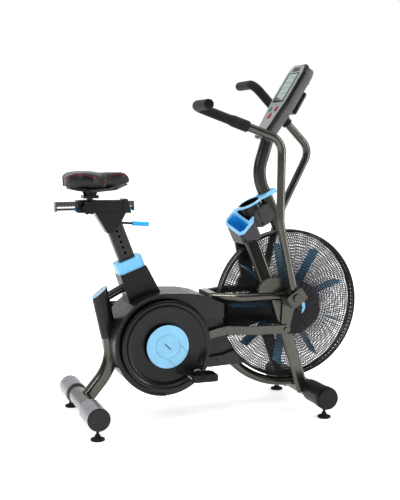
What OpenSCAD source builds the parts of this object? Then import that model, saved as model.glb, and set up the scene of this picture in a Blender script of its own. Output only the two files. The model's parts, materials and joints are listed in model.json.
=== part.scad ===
// Fan exercise bike: steel frame, caged paddle fan, belt crank, swinging arms, sliding saddle.
// X forward, Y to the rider's left, Z up, millimetres.  The origin is on the floor,
// in the middle of the outline, on the centre plane.

/* [Crank] */
// crank axle, distance behind the origin
crank_x = -218; // [-260:1:-180]
// crank axle height
crank_z = 293; // [260:1:330]
// crank arm length from axle to pedal axle
crank_len = 155; // [125:1:175]
// crank arm direction below the horizontal, right side
crank_deg = 43; // [0:1:90]
// big round crank disc radius
disc_r = 168; // [150:1:175]
// blue disc radius
cap_r = 80; // [60:1:90]
// half width of the body shells
shell_y = 100; // [80:1:110]
// spindle radius
spindle_r = 9.5; // [8:0.5:12]

/* [Fan] */
// fan axle, distance ahead of the origin
fan_x = 310; // [280:1:340]
// fan axle height
fan_z = 407; // [380:1:430]
// cage outer radius
cage_r = 290; // [250:1:300]
// half thickness of the cage at the hub
cage_y = 92; // [70:1:110]
// ribs on each side of the cage
cage_ribs = 48; // [24:4:72]
// number of fan paddles
paddles = 9; // [5:1:12]
// paddle tip radius
paddle_r = 238; // [200:1:250]
// paddle width along the axle
paddle_w = 74; // [50:1:90]

/* [Stabilizers] */
// rear cross tube, distance behind the origin
rear_x = -504; // [-540:1:-460]
// front cross tube, distance ahead of the origin
front_x = 370; // [340:1:400]
// height of both cross tubes
stab_z = 79; // [70:1:90]
// cross tube outer radius
stab_r = 34; // [28:0.5:38]
// end sleeve outer radius
sleeve_r = 41; // [36:0.5:46]
// half width over the end sleeves
stab_w = 262; // [220:1:320]
// sleeve length
sleeve_l = 140; // [60:1:160]
// levelling foot offset from the centre plane, rear
foot_y_rear = 233; // [200:1:250]
// levelling foot offset from the centre plane, front
foot_y_front = 226; // [200:1:250]

/* [Arms] */
// arm pivot, distance ahead of the origin
pivot_x = 270; // [240:1:300]
// arm pivot height
pivot_z = 455; // [430:1:480]
// plane of each swinging arm, from the centre plane
arm_y = 165; // [150:1:200]
// arm tube radius
arm_r = 15.5; // [12:0.5:18]
// swing between the two arms
arm_swing = 26.5; // [10:0.5:40]
// length of the outward hand stub
stub_l = 155; // [100:1:170]

/* [Seat] */
// lean of the seat tube behind the vertical
seat_lean = 20.7; // [15:0.1:26]
// seat post width in the side view
post_w = 60; // [45:1:66]
// seat post depth across the bike
post_d = 38; // [30:1:44]

/* [Hidden] */
e = 0.01;
cl = 0.05;
side_y = 112;
leg_y = 110;
link_out = 136;
link_in = 98;
belt_y0 = 60;
belt_y1 = 72;
drive_r = 108;
driven_r = 20;
$fn = 72;

// ---------- tube helpers ----------

// flat-sided oval: w across x, h across y
module oval(w, h) {
  if (w == h) {
    circle(d = w);
  } else if (w > h) {
    square([w - h, h], center = true);
    translate([(w - h) / 2, 0]) circle(d = h);
    translate([-(w - h) / 2, 0]) circle(d = h);
  } else {
    square([w, h - w], center = true);
    translate([0, (h - w) / 2]) circle(d = w);
    translate([0, -(h - w) / 2]) circle(d = w);
  }
}

// thin weld line that joins two tube pieces
module bead(w, h) {
  translate([0, 0, -0.5]) linear_extrude(height = 1) oval(w + 0.3, h + 0.3);
}

module run(l, w, h, t = 0) {
  linear_extrude(height = l - 0.05) difference() {
    oval(w, h);
    if (t > 0) oval(w - 2 * t, h - 2 * t);
  }
  translate([0, 0, l]) children();
}

// arc piece that turns towards local +x
module arc_piece(r, a, w, h) {
  translate([r, 0, 0])
    rotate([90, 0, 0])
      rotate([0, 0, 180 - a])
        rotate_extrude(angle = a)
          translate([r, 0]) oval(w, h);
}

module bend(r, a, w, h) {
  bead(w, h);
  if (a > 0) {
    arc_piece(r, a, w, h);
    translate([r * (1 - cos(a)), 0, r * sin(a)]) rotate([0, a, 0]) {
      bead(w, h);
      translate([0, 0, 0.05]) children();
    }
  } else {
    mirror([1, 0, 0]) arc_piece(r, -a, w, h);
    translate([-r * (1 - cos(a)), 0, r * sin(-a)]) rotate([0, a, 0]) {
      bead(w, h);
      translate([0, 0, 0.05]) children();
    }
  }
}

// cylinder along Y from y0 to y1
module cyl_y(r, y0, y1) {
  translate([0, y1, 0]) rotate([90, 0, 0]) cylinder(r = r, h = y1 - y0);
}

// side-view outline (x, z) pushed from y0 to y1
module plate_y(y0, y1) {
  translate([0, y1, 0]) rotate([90, 0, 0]) linear_extrude(height = y1 - y0) children();
}

// rectangle with cut corners
module cut_rect(w, h, c) {
  polygon([[-w / 2 + c, -h / 2], [w / 2 - c, -h / 2], [w / 2, -h / 2 + c], [w / 2, h / 2 - c],
    [w / 2 - c, h / 2], [-w / 2 + c, h / 2], [-w / 2, h / 2 - c], [-w / 2, -h / 2 + c]]);
}

module left() {
  mirror([0, 1, 0]) children();
}

module seat_frame() {
  translate([crank_x, 0, crank_z]) rotate([0, -seat_lean, 0]) children();
}

module at_fan() {
  translate([fan_x, 0, fan_z]) children();
}

module at_crank() {
  translate([crank_x, 0, crank_z]) children();
}

// ---------- stabilizers and feet ----------

module stab_tube(x, fy) {
  color([0.33, 0.33, 0.31])
  difference() {
    translate([x, 0, stab_z]) cyl_y(stab_r, -stab_w + 12, stab_w - 12);
    translate([x, 0, stab_z]) cyl_y(stab_r - 3, -stab_w, stab_w);
    translate([x, fy, stab_z - 50]) cylinder(r = 5 + cl, h = 40);
    translate([x, -fy, stab_z - 50]) cylinder(r = 5 + cl, h = 40);
  }
}

module one_cap(x, fy, ring) {
  difference() {
    union() {
      translate([x, 0, stab_z]) cyl_y(sleeve_r, stab_w - sleeve_l, stab_w - 4);
      if (ring > 0) translate([x, 0, stab_z]) cyl_y(sleeve_r + ring, stab_w - 38, stab_w - 12);
    }
    translate([x, 0, stab_z]) cyl_y(stab_r, stab_w - sleeve_l - 1, stab_w - 12);
    translate([x, fy, stab_z - 60]) cylinder(r = 5 + cl, h = 50);
  }
  translate([x, 0, stab_z]) cyl_y(sleeve_r - 2.5, stab_w - 4, stab_w);
}

module rear_stabilizer() {
  stab_tube(rear_x, foot_y_rear);
}

module front_stabilizer() {
  stab_tube(front_x, foot_y_front);
}

module rear_caps() {
  color([0.62, 0.63, 0.64]) {
    one_cap(rear_x, foot_y_rear, 0);
    left() one_cap(rear_x, foot_y_rear, 0);
  }
}

module front_caps() {
  color([0.12, 0.12, 0.13]) {
    one_cap(front_x, foot_y_front, 2.5);
    left() one_cap(front_x, foot_y_front, 2.5);
  }
}

module foot(x, y) {
  color([0.06, 0.06, 0.06])
  translate([x, y, 0]) {
    cylinder(r = 22, h = 2);
    translate([0, 0, 2]) cylinder(r = 25, h = 5);
    translate([0, 0, 7]) cylinder(r1 = 25, r2 = 13, h = 5);
    translate([0, 0, 12]) cylinder(r = 10, h = 8, $fn = 6);
    translate([0, 0, 20]) cylinder(r = 5, h = 50);
  }
}

module foot_rear_right() {
  foot(rear_x, -foot_y_rear);
}

module foot_rear_left() {
  foot(rear_x, foot_y_rear);
}

module foot_front_right() {
  foot(front_x, -foot_y_front);
}

module foot_front_left() {
  foot(front_x, foot_y_front);
}

// ---------- frame ----------

module rear_leg_path(w, h) {
  translate([rear_x, 0, stab_z])
    rotate([0, 40, 0])
      run(98, w, h)
        bend(183, -52, w, h)
          run(150, w, h);
}

module rear_leg() {
  color([0.36, 0.36, 0.33])
  difference() {
    rear_leg_path(54, 40);
    rear_leg_path(48, 34);
    translate([rear_x, 0, stab_z]) cyl_y(stab_r, -60, 60);
  }
}

// frame at the start of the straight top of the rear leg, z along the tube
module leg_top() {
  translate([rear_x, 0, stab_z])
    rotate([0, 40, 0])
      translate([0, 0, 98])
        translate([-183 * (1 - cos(52)), 0, 183 * sin(52)])
          rotate([0, -52, 0]) children();
}

module brace_solid(r) {
  translate([-440, 0, 452])
    rotate([0, 62.5, 0])
      cylinder(r = r, h = 120);
}

// everything above the slanted end face of the rear leg cover
module leg_cut(d) {
  leg_top() translate([0, 0, 178 + d]) rotate([0, -26, 0]) translate([-100, -100, 0]) cube([200, 200, 100]);
}

module rear_leg_cover() {
  color([0.09, 0.09, 0.10])
  difference() {
    leg_top() translate([0, 0, 8]) linear_extrude(height = 210) oval(62, 48);
    leg_cut(0);
    leg_top() linear_extrude(height = 152) oval(54, 40);
    intersection() {
      leg_top() translate([0, 0, 150]) linear_extrude(height = 70) oval(50, 36);
      leg_cut(-6);
    }
    brace_solid(15.5);
    at_crank() plate_y(-30, 30) translate([-190, -44]) square([120, 44]);
  }
  color([0.30, 0.70, 0.88])
  difference() {
    intersection() {
      leg_top() translate([0, 0, 120]) linear_extrude(height = 100) oval(62, 48);
      leg_cut(0);
    }
    leg_cut(3);
    leg_top() translate([0, 0, 110]) linear_extrude(height = 120) oval(50.4, 36.4);
  }
  color([0.70, 0.72, 0.74])
  difference() {
    intersection() {
      leg_top() translate([0, 0, 120]) linear_extrude(height = 100) oval(50, 36);
      leg_cut(-6);
    }
    leg_cut(2);
  }
}

module box_run(x0, z0, x1, z1, w, h, t) {
  l = sqrt((x1 - x0) * (x1 - x0) + (z1 - z0) * (z1 - z0));
  translate([x0, 0, z0])
    rotate([0, atan2(x1 - x0, z1 - z0), 0])
      difference() {
        translate([-w / 2, -h / 2, 0]) cube([w, h, l]);
        translate([-w / 2 + t, -h / 2 + t, -1]) cube([w - 2 * t, h - 2 * t, l + 2]);
      }
}

module seat_tube_outer() {
  seat_frame() translate([0, 0, -8]) linear_extrude(height = 336) cut_rect(72, 50, 7);
}

module seat_tube_bore() {
  seat_frame() translate([0, 0, 30]) linear_extrude(height = 320) cut_rect(66, 44, 6);
}

module main_frame() {
  color([0.36, 0.36, 0.33])
  difference() {
    union() {
      seat_tube_outer();
      at_crank() cyl_y(30, -44, 44);
      box_run(-385, 268, crank_x, 293, 44, 38, 0);
      difference() {
        box_run(crank_x, 293, 6, 301, 44, 30, 0);
        at_fan() cyl_y(330, -60, 60);
      }
      box_run(-220, 374, -30, 450, 34, 36, 0);
      translate([-34, -58, 439]) cube([30, 116, 32]);
      difference() {
        brace_solid(15);
        brace_solid(12);
      }
    }
    seat_tube_bore();
    at_crank() cyl_y(20, -45, -31);
    at_crank() cyl_y(20, 31, 45);
    at_crank() cyl_y(spindle_r + 2, -46, 46);
    rear_leg_path(54, 40);
  }
  color([0.7, 0.7, 0.7])
  for (s = [0, 1]) mirror([0, s, 0]) at_crank() difference() {
    cyl_y(20, 31, 43);
    cyl_y(spindle_r + cl, 30, 44);
  }
}

// one long hoop behind and under the fan
module hoop_tube() {
  color([0.36, 0.36, 0.33])
  difference() {
    at_fan()
      rotate([90, 0, 0])
        rotate([0, 0, 168])
          rotate_extrude(angle = 110)
            translate([313, 0]) difference() {
              circle(d = 34);
              circle(d = 29);
            }
    translate([front_x, 0, stab_z]) cyl_y(stab_r, -60, 60);
    translate([-70, -60, 439]) cube([120, 120, 60]);
  }
}

// tube from the yoke, stepping outwards round the cage, then straight ahead
module side_path(w, h) {
  translate([-19, 46, pivot_z])
    rotate([0, 90, 0])
      rotate([0, 0, 90])
        rotate([0, 33, 0])
          run(94.5, w, h)
            bend(90, -33, w, h)
              run(pivot_x - 109, w, h);
}

module side_arm() {
  difference() {
    side_path(24, 30);
    side_path(19, 25);
    translate([-34, 0, 439]) cube([30, 58, 32]);
    translate([pivot_x, 0, pivot_z]) cyl_y(24, 60, 130);
  }
  translate([pivot_x, 0, pivot_z]) cyl_y(24, 99, 120);
  translate([pivot_x, 0, pivot_z]) cyl_y(10, 120, arm_y + 33);
  translate([pivot_x, 0, pivot_z]) cyl_y(16, arm_y + 33, arm_y + 38);
}

module side_arm_left() {
  color([0.36, 0.36, 0.33]) side_arm();
}

module side_arm_right() {
  color([0.36, 0.36, 0.33]) left() side_arm();
}

// leaning upright with its domed foot plate on the side arm
module upright() {
  difference() {
    translate([200, side_y, pivot_z])
      rotate([15, 0, 0])
        rotate([0, -16, 0])
          run(272, 56, 26, 2.5);
    translate([0, 60, pivot_z - 60]) cube([400, 120, 75]);
    holder_frame() translate([-100, -150, 12]) cube([260, 400, 200]);
  }
  difference() {
    translate([199, 0, pivot_z + 15]) plate_y(side_y - 11, side_y + 9) intersection() {
      circle(r = 56);
      translate([-60, 0]) square([120, 60]);
    }
    translate([200, side_y, pivot_z])
      rotate([15, 0, 0])
        rotate([0, -16, 0])
          run(272, 56, 26);
    translate([pivot_x, 0, pivot_z]) cyl_y(24.3, 90, 130);
  }
}

module upright_left() {
  color([0.38, 0.38, 0.35]) upright();
}

module upright_right() {
  color([0.38, 0.38, 0.35]) left() upright();
}

// front leg with the axle bracket plate beside it
module front_leg() {
  color([0.36, 0.36, 0.33])
  difference() {
    translate([336, 109, stab_z])
      rotate([0, -17.6, 0])
        run(400, 48, 22, 2.5);
    translate([front_x, 0, stab_z]) cyl_y(stab_r, 90, 130);
    translate([100, 60, pivot_z - 15]) cube([200, 100, 80]);
    translate([pivot_x, 0, pivot_z]) cyl_y(24, 90, 130);
    at_fan() cyl_y(22, 90, 130);
    translate([262, 90, 308]) cube([62, 40, 124]);
  }
  color([0.36, 0.36, 0.33])
  difference() {
    translate([front_x, 0, stab_z]) cyl_y(stab_r + 5, 94, stab_w - sleeve_l);
    translate([front_x, 0, stab_z]) cyl_y(stab_r, 90, 130);
    translate([front_x - 60, 90, stab_z - 60]) cube([120, 40, 62]);
    translate([336, 109, stab_z]) rotate([0, -17.6, 0]) run(400, 48, 22);
  }
  color([0.10, 0.10, 0.11])
  difference() {
    translate([262, 98, 308]) cube([60, 21, 124]);
    translate([pivot_x, 0, pivot_z]) cyl_y(24, 90, 130);
    at_fan() cyl_y(8, 90, 130);
  }
}

module front_leg_left() {
  front_leg();
}

module front_leg_right() {
  left() front_leg();
}

module mast_path(w, h) {
  translate([275, 0, 707])
    rotate([0, -24.5, 0])
      run(165, w, h)
        bend(150, 41.5, w, h)
          run(132, w, h);
}

// console mast, with the cross box that ties the uprights to it
module mast() {
  color([0.24, 0.24, 0.23])
  difference() {
    mast_path(50, 34);
    mast_path(45, 29);
  }
  color([0.33, 0.33, 0.31])
  holder_frame() difference() {
    translate([-8, -66, 12]) cube([56, 132, 14]);
    translate([-5, -40, 15]) cube([48, 80, 8]);
  }
  color([0.33, 0.33, 0.31])
  difference() {
    holder_frame() union() {
      translate([43, -15, 26]) cube([9, 30, 38]);
      translate([52, -15, 50]) cube([88, 30, 14]);
    }
    mast_path(50, 34);
  }
}

// ---------- body shells ----------

module shell_outline() {
  difference() {
    union() {
      translate([crank_x, crank_z]) circle(r = 190, $fn = 120);
      polygon([[-218, 483], [-114, 478], [-63, 468], [30, 427], [140, 300], [128, 205],
        [-48, 197], [-218, 293]]);
    }
    translate([fan_x, fan_z]) circle(r = 297, $fn = 160);
  }
}

module shell_inner() {
  offset(delta = -3) shell_outline();
}

module pocket() {
  translate([crank_x, crank_z]) circle(r = 173, $fn = 120);
  polygon([[-218, 361], [-100, 382], [60, 382], [60, 256], [10, 240], [-40, 235], [-218, 235]]);
}

module shroud_outline(g) {
  polygon([[-52 - g, 290 + g], [52 + g, 290 + g], [70 + g, 150], [-58 - g, 150]]);
}

module shell_cutters() {
  rear_leg_path(56, 42);
  leg_top() translate([0, 0, -5]) linear_extrude(height = 130) oval(64, 50);
  seat_frame() plate_y(-46, 46) shroud_outline(0.5);
  seat_frame() translate([-40, -30, -12]) cube([80, 60, 240]);
  translate([-35, -60, 437]) cube([80, 120, 60]);
  side_path(27, 33);
  left() side_path(27, 33);
  at_fan() rotate([90, 0, 0]) rotate([0, 0, 160]) rotate_extrude(angle = 120) translate([313, 0]) circle(r = 18);
}

module half_shell() {
  difference() {
    plate_y(0, shell_y) shell_outline();
    plate_y(-1, 79) shell_inner();
    difference() {
      plate_y(78, shell_y - 3) shell_inner();
      plate_y(70, shell_y) offset(delta = 3) pocket();
    }
    plate_y(82, shell_y + 10) pocket();
    at_crank() cyl_y(spindle_r + 6, 60, 110);
    shell_cutters();
  }
  at_crank() difference() {
    cyl_y(190, shell_y, shell_y + 6);
    cyl_y(183, shell_y - 1, shell_y + 7);
    translate([0, 60, -200]) cube([260, 60, 400]);
  }
}

module shell_left() {
  color([0.30, 0.29, 0.31])
  difference() {
    half_shell();
    guard_solid(0.4);
  }
}

module shell_right() {
  color([0.30, 0.29, 0.31]) left() half_shell();
}

module screw_y(x, z, y) {
  translate([x, 0, z]) cyl_y(5, y, y + 2);
}

module shell_screws() {
  color([0.05, 0.05, 0.05]) {
    for (s = [0, 1]) mirror([0, s, 0]) {
      screw_y(-87, 466, shell_y);
      screw_y(-12, 222, shell_y);
      screw_y(80, 216, shell_y);
      seat_frame() screw_y(-38, 172, 44);
      seat_frame() screw_y(54, 168, 44);
      screw_y(190, 726, 42);
    }
  }
}

// tapered cover for the belt between the shell and the left hub
module guard_solid(g) {
  plate_y(54 - g, 81 + g) difference() {
    hull() {
      translate([crank_x, crank_z]) circle(r = 124 + g);
      translate([fan_x, fan_z]) circle(r = 40 + g);
    }
    translate([-460, 0]) square([452, 700]);
  }
}

module belt_guard() {
  color([0.09, 0.09, 0.10])
  difference() {
    guard_solid(0);
    translate([0, 3, 0]) plate_y(50, 75) offset(delta = -3) hull() {
      translate([crank_x, crank_z]) circle(r = 124);
      translate([fan_x, fan_z]) circle(r = 40);
    }
    at_fan() cyl_y(24, 40, 90);
    at_crank() cyl_y(spindle_r + 6, 40, 90);
  }
}

// ---------- seat tube covers ----------

module seat_shroud() {
  color([0.10, 0.10, 0.11])
  difference() {
    seat_frame() plate_y(-44, 44) shroud_outline(0);
    seat_frame() plate_y(-41, 41) offset(delta = -3) shroud_outline(0);
    seat_tube_outer();
    brace_solid(15.5);
    at_crank() cyl_y(186, -45, 45);
  }
}

module seat_collar() {
  color([0.20, 0.62, 0.85])
  seat_frame() difference() {
    translate([0, 0, 290]) linear_extrude(height = 44) cut_rect(102, 78, 12);
    translate([0, 0, 280]) linear_extrude(height = 48) cut_rect(72, 50, 7);
    translate([0, 0, 280]) linear_extrude(height = 60) cut_rect(post_w + 0.2, post_d + 0.2, 5);
  }
}

module seat_post() {
  color([0.30, 0.30, 0.29])
  seat_frame() difference() {
    translate([0, 0, 170]) linear_extrude(height = 338) cut_rect(post_w, post_d, 5);
    translate([0, 0, 169]) linear_extrude(height = 310) cut_rect(post_w - 6, post_d - 6, 3);
    for (k = [0 : 4]) translate([0, 0, 360 + 21.5 * k]) cyl_y(4.8, -30, -10);
    translate([20, -6, 452]) cube([20, 12, 28]);
    translate([12, -7, 454]) cube([12, 14, 24]);
  }
}

// lever body sits in a slot in the front of the post
module height_lever() {
  color([0.12, 0.12, 0.12])
  seat_frame() translate([30, 0, 466]) {
    cyl_y(6, -5.5, 5.5);
    translate([-8, -5.5, -4]) cube([10, 11, 8]);
    rotate([0, 115, 0]) cylinder(r = 4, h = 42);
  }
  color([0.20, 0.62, 0.85])
  seat_frame() translate([30, 0, 466]) rotate([0, 115, 0]) translate([0, 0, 42])
    difference() {
      cylinder(r = 8, h = 62);
      translate([0, 0, 60]) cylinder(r = 6, h = 3);
    }
}

module sleeve_bore() {
  translate([-600, -17.1, 784.9]) cube([400, 34.2, 35.2]);
}

module seat_carriage() {
  color([0.30, 0.30, 0.29])
  difference() {
    union() {
      translate([-456, -21, 781]) cube([106, 42, 43]);
      plate_y(-25, 25) polygon([[-352, 777], [-322, 777], [-336, 828], [-352, 828]]);
      plate_y(-25, 25) polygon([[-521, 781], [-450, 779], [-450, 826], [-521, 826]]);
      plate_y(-24, 24) polygon([[-458, 781], [-340, 781], [-372, 724], [-398, 704], [-412, 704]]);
    }
    sleeve_bore();
    translate([-492, -9, 815]) cube([88, 18, 20]);
    seat_frame() translate([0, 0, 100]) linear_extrude(height = 408) cut_rect(post_w, post_d, 5);
    seat_frame() translate([0, -9, 440]) cube([80, 18, 46]);
    translate([-484, 0, 800]) cyl_y(5 + cl, -40, -15);
  }
  color([0.05, 0.45, 0.75]) {
    translate([-527, 0, 0]) bush();
    translate([-322, 0, 0]) bush();
  }
}

module bush() {
  difference() {
    translate([0, -7, 786]) cube([6, 14, 13]);
    translate([-1, 0, 792.5]) rotate([0, 90, 0]) cylinder(r = 4.4, h = 12);
  }
}

module seat_rail() {
  color([0.42, 0.42, 0.42]) {
    difference() {
      translate([-595, -17, 803]) cube([281, 34, 17]);
      for (k = [0 : 11]) translate([-586 + 12 * k, -20, 801]) cube([5, 40, 5]);
      translate([-601, -9, 799]) cube([90, 4, 30]);
    }
    translate([-600, -17, 785]) cube([5, 34, 35]);
    translate([-314, -17, 785]) cube([5, 34, 35]);
    translate([-595, 0, 792.5]) rotate([0, 90, 0]) cylinder(r = 4, h = 281);
    translate([-482, -7, 820]) cube([20, 14, 12]);
  }
}

module clamp_knob() {
  color([0.07, 0.07, 0.07])
  translate([-484, 0, 800]) {
    cyl_y(5, -30, -19);
    cyl_y(15, -38, -26);
    difference() {
      cyl_y(25, -56, -38);
      for (k = [0 : 5]) rotate([0, 60 * k + 30, 0]) translate([29, 0, 0]) cyl_y(8.5, -60, -30);
    }
  }
}

module saddle_clamp() {
  color([0.10, 0.10, 0.10]) {
    difference() {
      union() {
        translate([-499, -23, 832]) cube([56, 46, 11]);
        translate([-471, 0, 846]) cyl_y(9.5, -23, 23);
      }
      translate([-471, 0, 846]) cyl_y(5 + cl, -30, 30);
    }
  }
  color([0.6, 0.6, 0.6])
  difference() {
    union() {
      translate([-471, 0, 846]) cyl_y(9.5, -28, -23);
      translate([-471, 0, 846]) cyl_y(9.5, 23, 28);
    }
    translate([-471, 0, 846]) cyl_y(5 + cl, -30, 30);
  }
}

module saddle_plan() {
  hull() {
    translate([-498, 0]) scale([0.62, 1]) circle(r = 100);
    translate([-430, 0]) circle(r = 70);
  }
  hull() {
    translate([-430, 0]) circle(r = 58);
    translate([-350, 0]) circle(r = 26);
  }
}

module saddle_base() {
  color([0.05, 0.05, 0.05])
  difference() {
    union() {
      plate_y(-92, 92) polygon([[-560, 868], [-530, 862], [-480, 856], [-380, 862], [-330, 880], [-328, 884],
        [-380, 872], [-480, 866], [-530, 872], [-560, 876]]);
      plate_y(-22, 22) polygon([[-497, 857.5], [-445, 857.5], [-430, 866], [-510, 866]]);
    }
    linear_extrude(height = 1000) difference() {
      translate([-700, -200]) square([500, 400]);
      offset(delta = -6) saddle_plan();
    }
    translate([-471, 0, 846]) cyl_y(10.5, -28.3, 28.3);
  }
  color([0.6, 0.6, 0.6])
  translate([-471, 0, 846]) cyl_y(5, -37, 37);
  color([0.05, 0.05, 0.05])
  for (s = [-1, 1]) translate([-471, 31 * s, 0]) plate_y(-2.5, 2.5)
    difference() {
      polygon([[-14, 840], [14, 840], [24, 862], [-24, 862]]);
      translate([0, 846]) circle(r = 5);
    }
}

// padded top, side profile crossed with the plan outline
module saddle() {
  color([0.04, 0.04, 0.04])
  intersection() {
    plate_y(-110, 110) polygon([[-580, 880], [-575, 904], [-562, 920], [-530, 929], [-480, 931], [-430, 927],
      [-360, 924], [-338, 918], [-324, 904], [-321, 890], [-328, 884.5], [-380, 872.5], [-480, 866.5],
      [-530, 872.5], [-560, 876.5]]);
    union() {
      translate([0, 0, 860]) linear_extrude(height = 50) saddle_plan();
      translate([0, 0, 910]) linear_extrude(height = 12) offset(delta = -5) saddle_plan();
      translate([0, 0, 922]) linear_extrude(height = 10) offset(delta = -14) saddle_plan();
    }
  }
}

// ---------- fan ----------

// one cage rib in the (radius, y) plane
module rib() {
  translate([0, 0, -1]) linear_extrude(height = 2)
    polygon([[94, cage_y - 4.5], [94, cage_y - 1.5], [150, cage_y - 12], [200, cage_y - 27], [245, cage_y - 40],
      [274, cage_y - 55], [284, 20], [281, 20], [271.5, cage_y - 57], [243.5, cage_y - 43],
      [199, cage_y - 30], [149.5, cage_y - 15]]);
}

module grid_ring(r, y, w, h) {
  rotate([-90, 0, 0]) rotate_extrude($fn = 96) translate([r, -y - h]) square([w, h]);
}

module cage_half() {
  at_fan() {
    for (k = [0 : cage_ribs - 1]) rotate([0, 360 / cage_ribs * k, 0]) rib();
    grid_ring(93, -cage_y + 0.5, 6, 4);
    grid_ring(146, -cage_y + 11.9, 2.5, 3);
    grid_ring(198, -cage_y + 27.3, 2.5, 3);
    grid_ring(243, -cage_y + 40.4, 2.5, 3);
    grid_ring(278, -23, 7, 4);
  }
}

module cage_right() {
  color([0.10, 0.10, 0.11]) left() cage_half();
}

module cage_left() {
  color([0.10, 0.10, 0.11])
  difference() {
    cage_half();
    guard_solid(0.5);
  }
}

module cage_band() {
  color([0.07, 0.07, 0.08])
  at_fan() difference() {
    cyl_y(cage_r, -22, 22);
    cyl_y(cage_r - 3, -23, 23);
  }
  color([0.07, 0.07, 0.08])
  for (s = [0, 1]) mirror([0, s, 0]) at_fan() difference() {
    cyl_y(cage_r, 16, 19);
    cyl_y(280, 15, 20);
  }
}

module hub_covers() {
  for (s = [0, 1]) mirror([0, s, 0]) at_fan() {
    color([0.11, 0.10, 0.12])
    difference() {
      union() {
        cyl_y(100, cage_y, cage_y + 2);
        for (k = [0 : 23]) rotate([0, 15 * k, 0]) translate([40, cage_y + 2, -1.5]) cube([56, 2, 3]);
      }
      cyl_y(8 + cl, cage_y - 5, cage_y + 10);
    }
    color([0.30, 0.70, 0.88])
    difference() {
      cyl_y(37, cage_y + 2, cage_y + 5);
      cyl_y(8 + cl, cage_y - 5, cage_y + 10);
    }
  }
}

module fan_axle() {
  color([0.65, 0.65, 0.65]) {
    at_fan() cyl_y(8, -128, 128);
    for (s = [0, 1]) mirror([0, s, 0]) at_fan() difference() {
      rotate([90, 0, 0]) translate([0, 0, -127]) cylinder(r = 13, h = 8, $fn = 6);
      cyl_y(8, 110, 130);
    }
  }
}

module fan_hub() {
  color([0.12, 0.12, 0.12])
  at_fan() difference() {
    union() {
      cyl_y(20, -48, 48);
      cyl_y(92, -3, 3);
      cyl_y(driven_r, 48, 82);
    }
    cyl_y(8 + cl, -60, 90);
  }
}

module fan_blades() {
  color([0.10, 0.50, 0.70])
  at_fan() for (k = [0 : paddles - 1])
    rotate([0, -(20 + 360 / paddles * k), 0]) difference() {
      translate([60, -paddle_w / 2, -1.2]) cube([paddle_r - 60, paddle_w, 2.4]);
      translate([50, -3, -5]) cube([42, 6, 10]);
    }
}

module belt() {
  color([0.03, 0.03, 0.03])
  plate_y(belt_y0, belt_y1) difference() {
    hull() {
      translate([crank_x, crank_z]) circle(r = drive_r + 3.3);
      translate([fan_x, fan_z]) circle(r = driven_r + 3.3);
    }
    hull() {
      translate([crank_x, crank_z]) circle(r = drive_r + 0.3);
      translate([fan_x, fan_z]) circle(r = driven_r + 0.3);
    }
  }
}

// ---------- crank ----------

module crank_spindle() {
  color([0.6, 0.6, 0.6])
  at_crank() cyl_y(spindle_r, -134, 134);
  color([0.20, 0.20, 0.20])
  at_crank() difference() {
    union() {
      cyl_y(drive_r, belt_y0, belt_y1);
      cyl_y(22, 48, 76);
    }
    cyl_y(spindle_r, 40, 90);
    for (k = [0 : 5]) rotate([0, 60 * k, 0]) translate([65, 0, 0]) cyl_y(22, 50, 90);
  }
}

module crank_arm_outline() {
  circle(r = 36);
  translate([0, -33]) square([crank_len - 20, 66]);
  translate([crank_len - 20, 0]) circle(r = 33);
}

module crank() {
  at_crank() {
    color([0.10, 0.10, 0.11])
    difference() {
      translate([0, 0, 0]) rotate([-90, 0, 0]) rotate_extrude($fn = 144)
        polygon([[spindle_r, 112], [164, 112], [168, 116], [168, 128], [164, 132], [156, 132], [150, 127],
          [146, 122], [138, 119], [132, 117], [spindle_r, 117]]);
      rotate([0, crank_deg, 0]) plate_y(116.9, 140) crank_arm_outline();
    }
    color([0.22, 0.22, 0.24])
    difference() {
      rotate([0, crank_deg, 0]) plate_y(117, 133) crank_arm_outline();
      cyl_y(spindle_r, 110, 140);
    }
    color([0.55, 0.80, 0.92])
    cyl_y(cap_r, 134, 139);
    color([0.30, 0.30, 0.30])
    difference() {
      cyl_y(70, 117, 134);
      rotate([0, crank_deg, 0]) plate_y(116, 140) crank_arm_outline();
    }
    color([0.6, 0.6, 0.6])
    rotate([0, crank_deg, 0]) translate([crank_len, 0, 0]) cyl_y(6, 125, 236);
    color([0.6, 0.6, 0.6])
    rotate([0, 20, 0]) translate([29, 0, 0]) cyl_y(6, 105, 112);
  }
}

module crank_right() {
  left() crank();
}

module crank_left() {
  at_crank() rotate([0, 180, 0]) translate([-crank_x, 0, -crank_z]) crank();
}

module pedal_body() {
  color([0.08, 0.08, 0.08])
  difference() {
    union() {
      cyl_y(12, 150, 234);
      difference() {
        plate_y(158, 232) cut_rect(94, 26, 8);
        translate([-36, 164, -20]) cube([24, 28, 40]);
        translate([-36, 198, -20]) cube([24, 28, 40]);
        translate([12, 164, -20]) cube([24, 28, 40]);
        translate([12, 198, -20]) cube([24, 28, 40]);
      }
    }
    cyl_y(6 + cl, 140, 240);
  }
  color([0.85, 0.85, 0.85]) {
    translate([47, 168, -4]) cube([1.5, 50, 8]);
    translate([-48.5, 168, -4]) cube([1.5, 50, 8]);
  }
}

module pedal_right() {
  left() translate([crank_x + crank_len * cos(crank_deg), 0, crank_z - crank_len * sin(crank_deg)])
    pedal_body();
}

module pedal_left() {
  translate([crank_x - crank_len * cos(crank_deg), 0, crank_z + crank_len * sin(crank_deg)])
    pedal_body();
}

// ---------- swinging arms ----------

module arm_path(d) {
  translate([-4, 0, 30])
    rotate([0, -12.6, 0])
      run(239, d, d)
        bend(150, 13.35, d, d)
          run(242, d, d)
            bend(65, -71.15, d, d)
              run(275, d, d)
                rotate([0, 0, -90]) bend(38, 90, d, d)
                  run(stub_l - 40, d, d);
}

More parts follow.
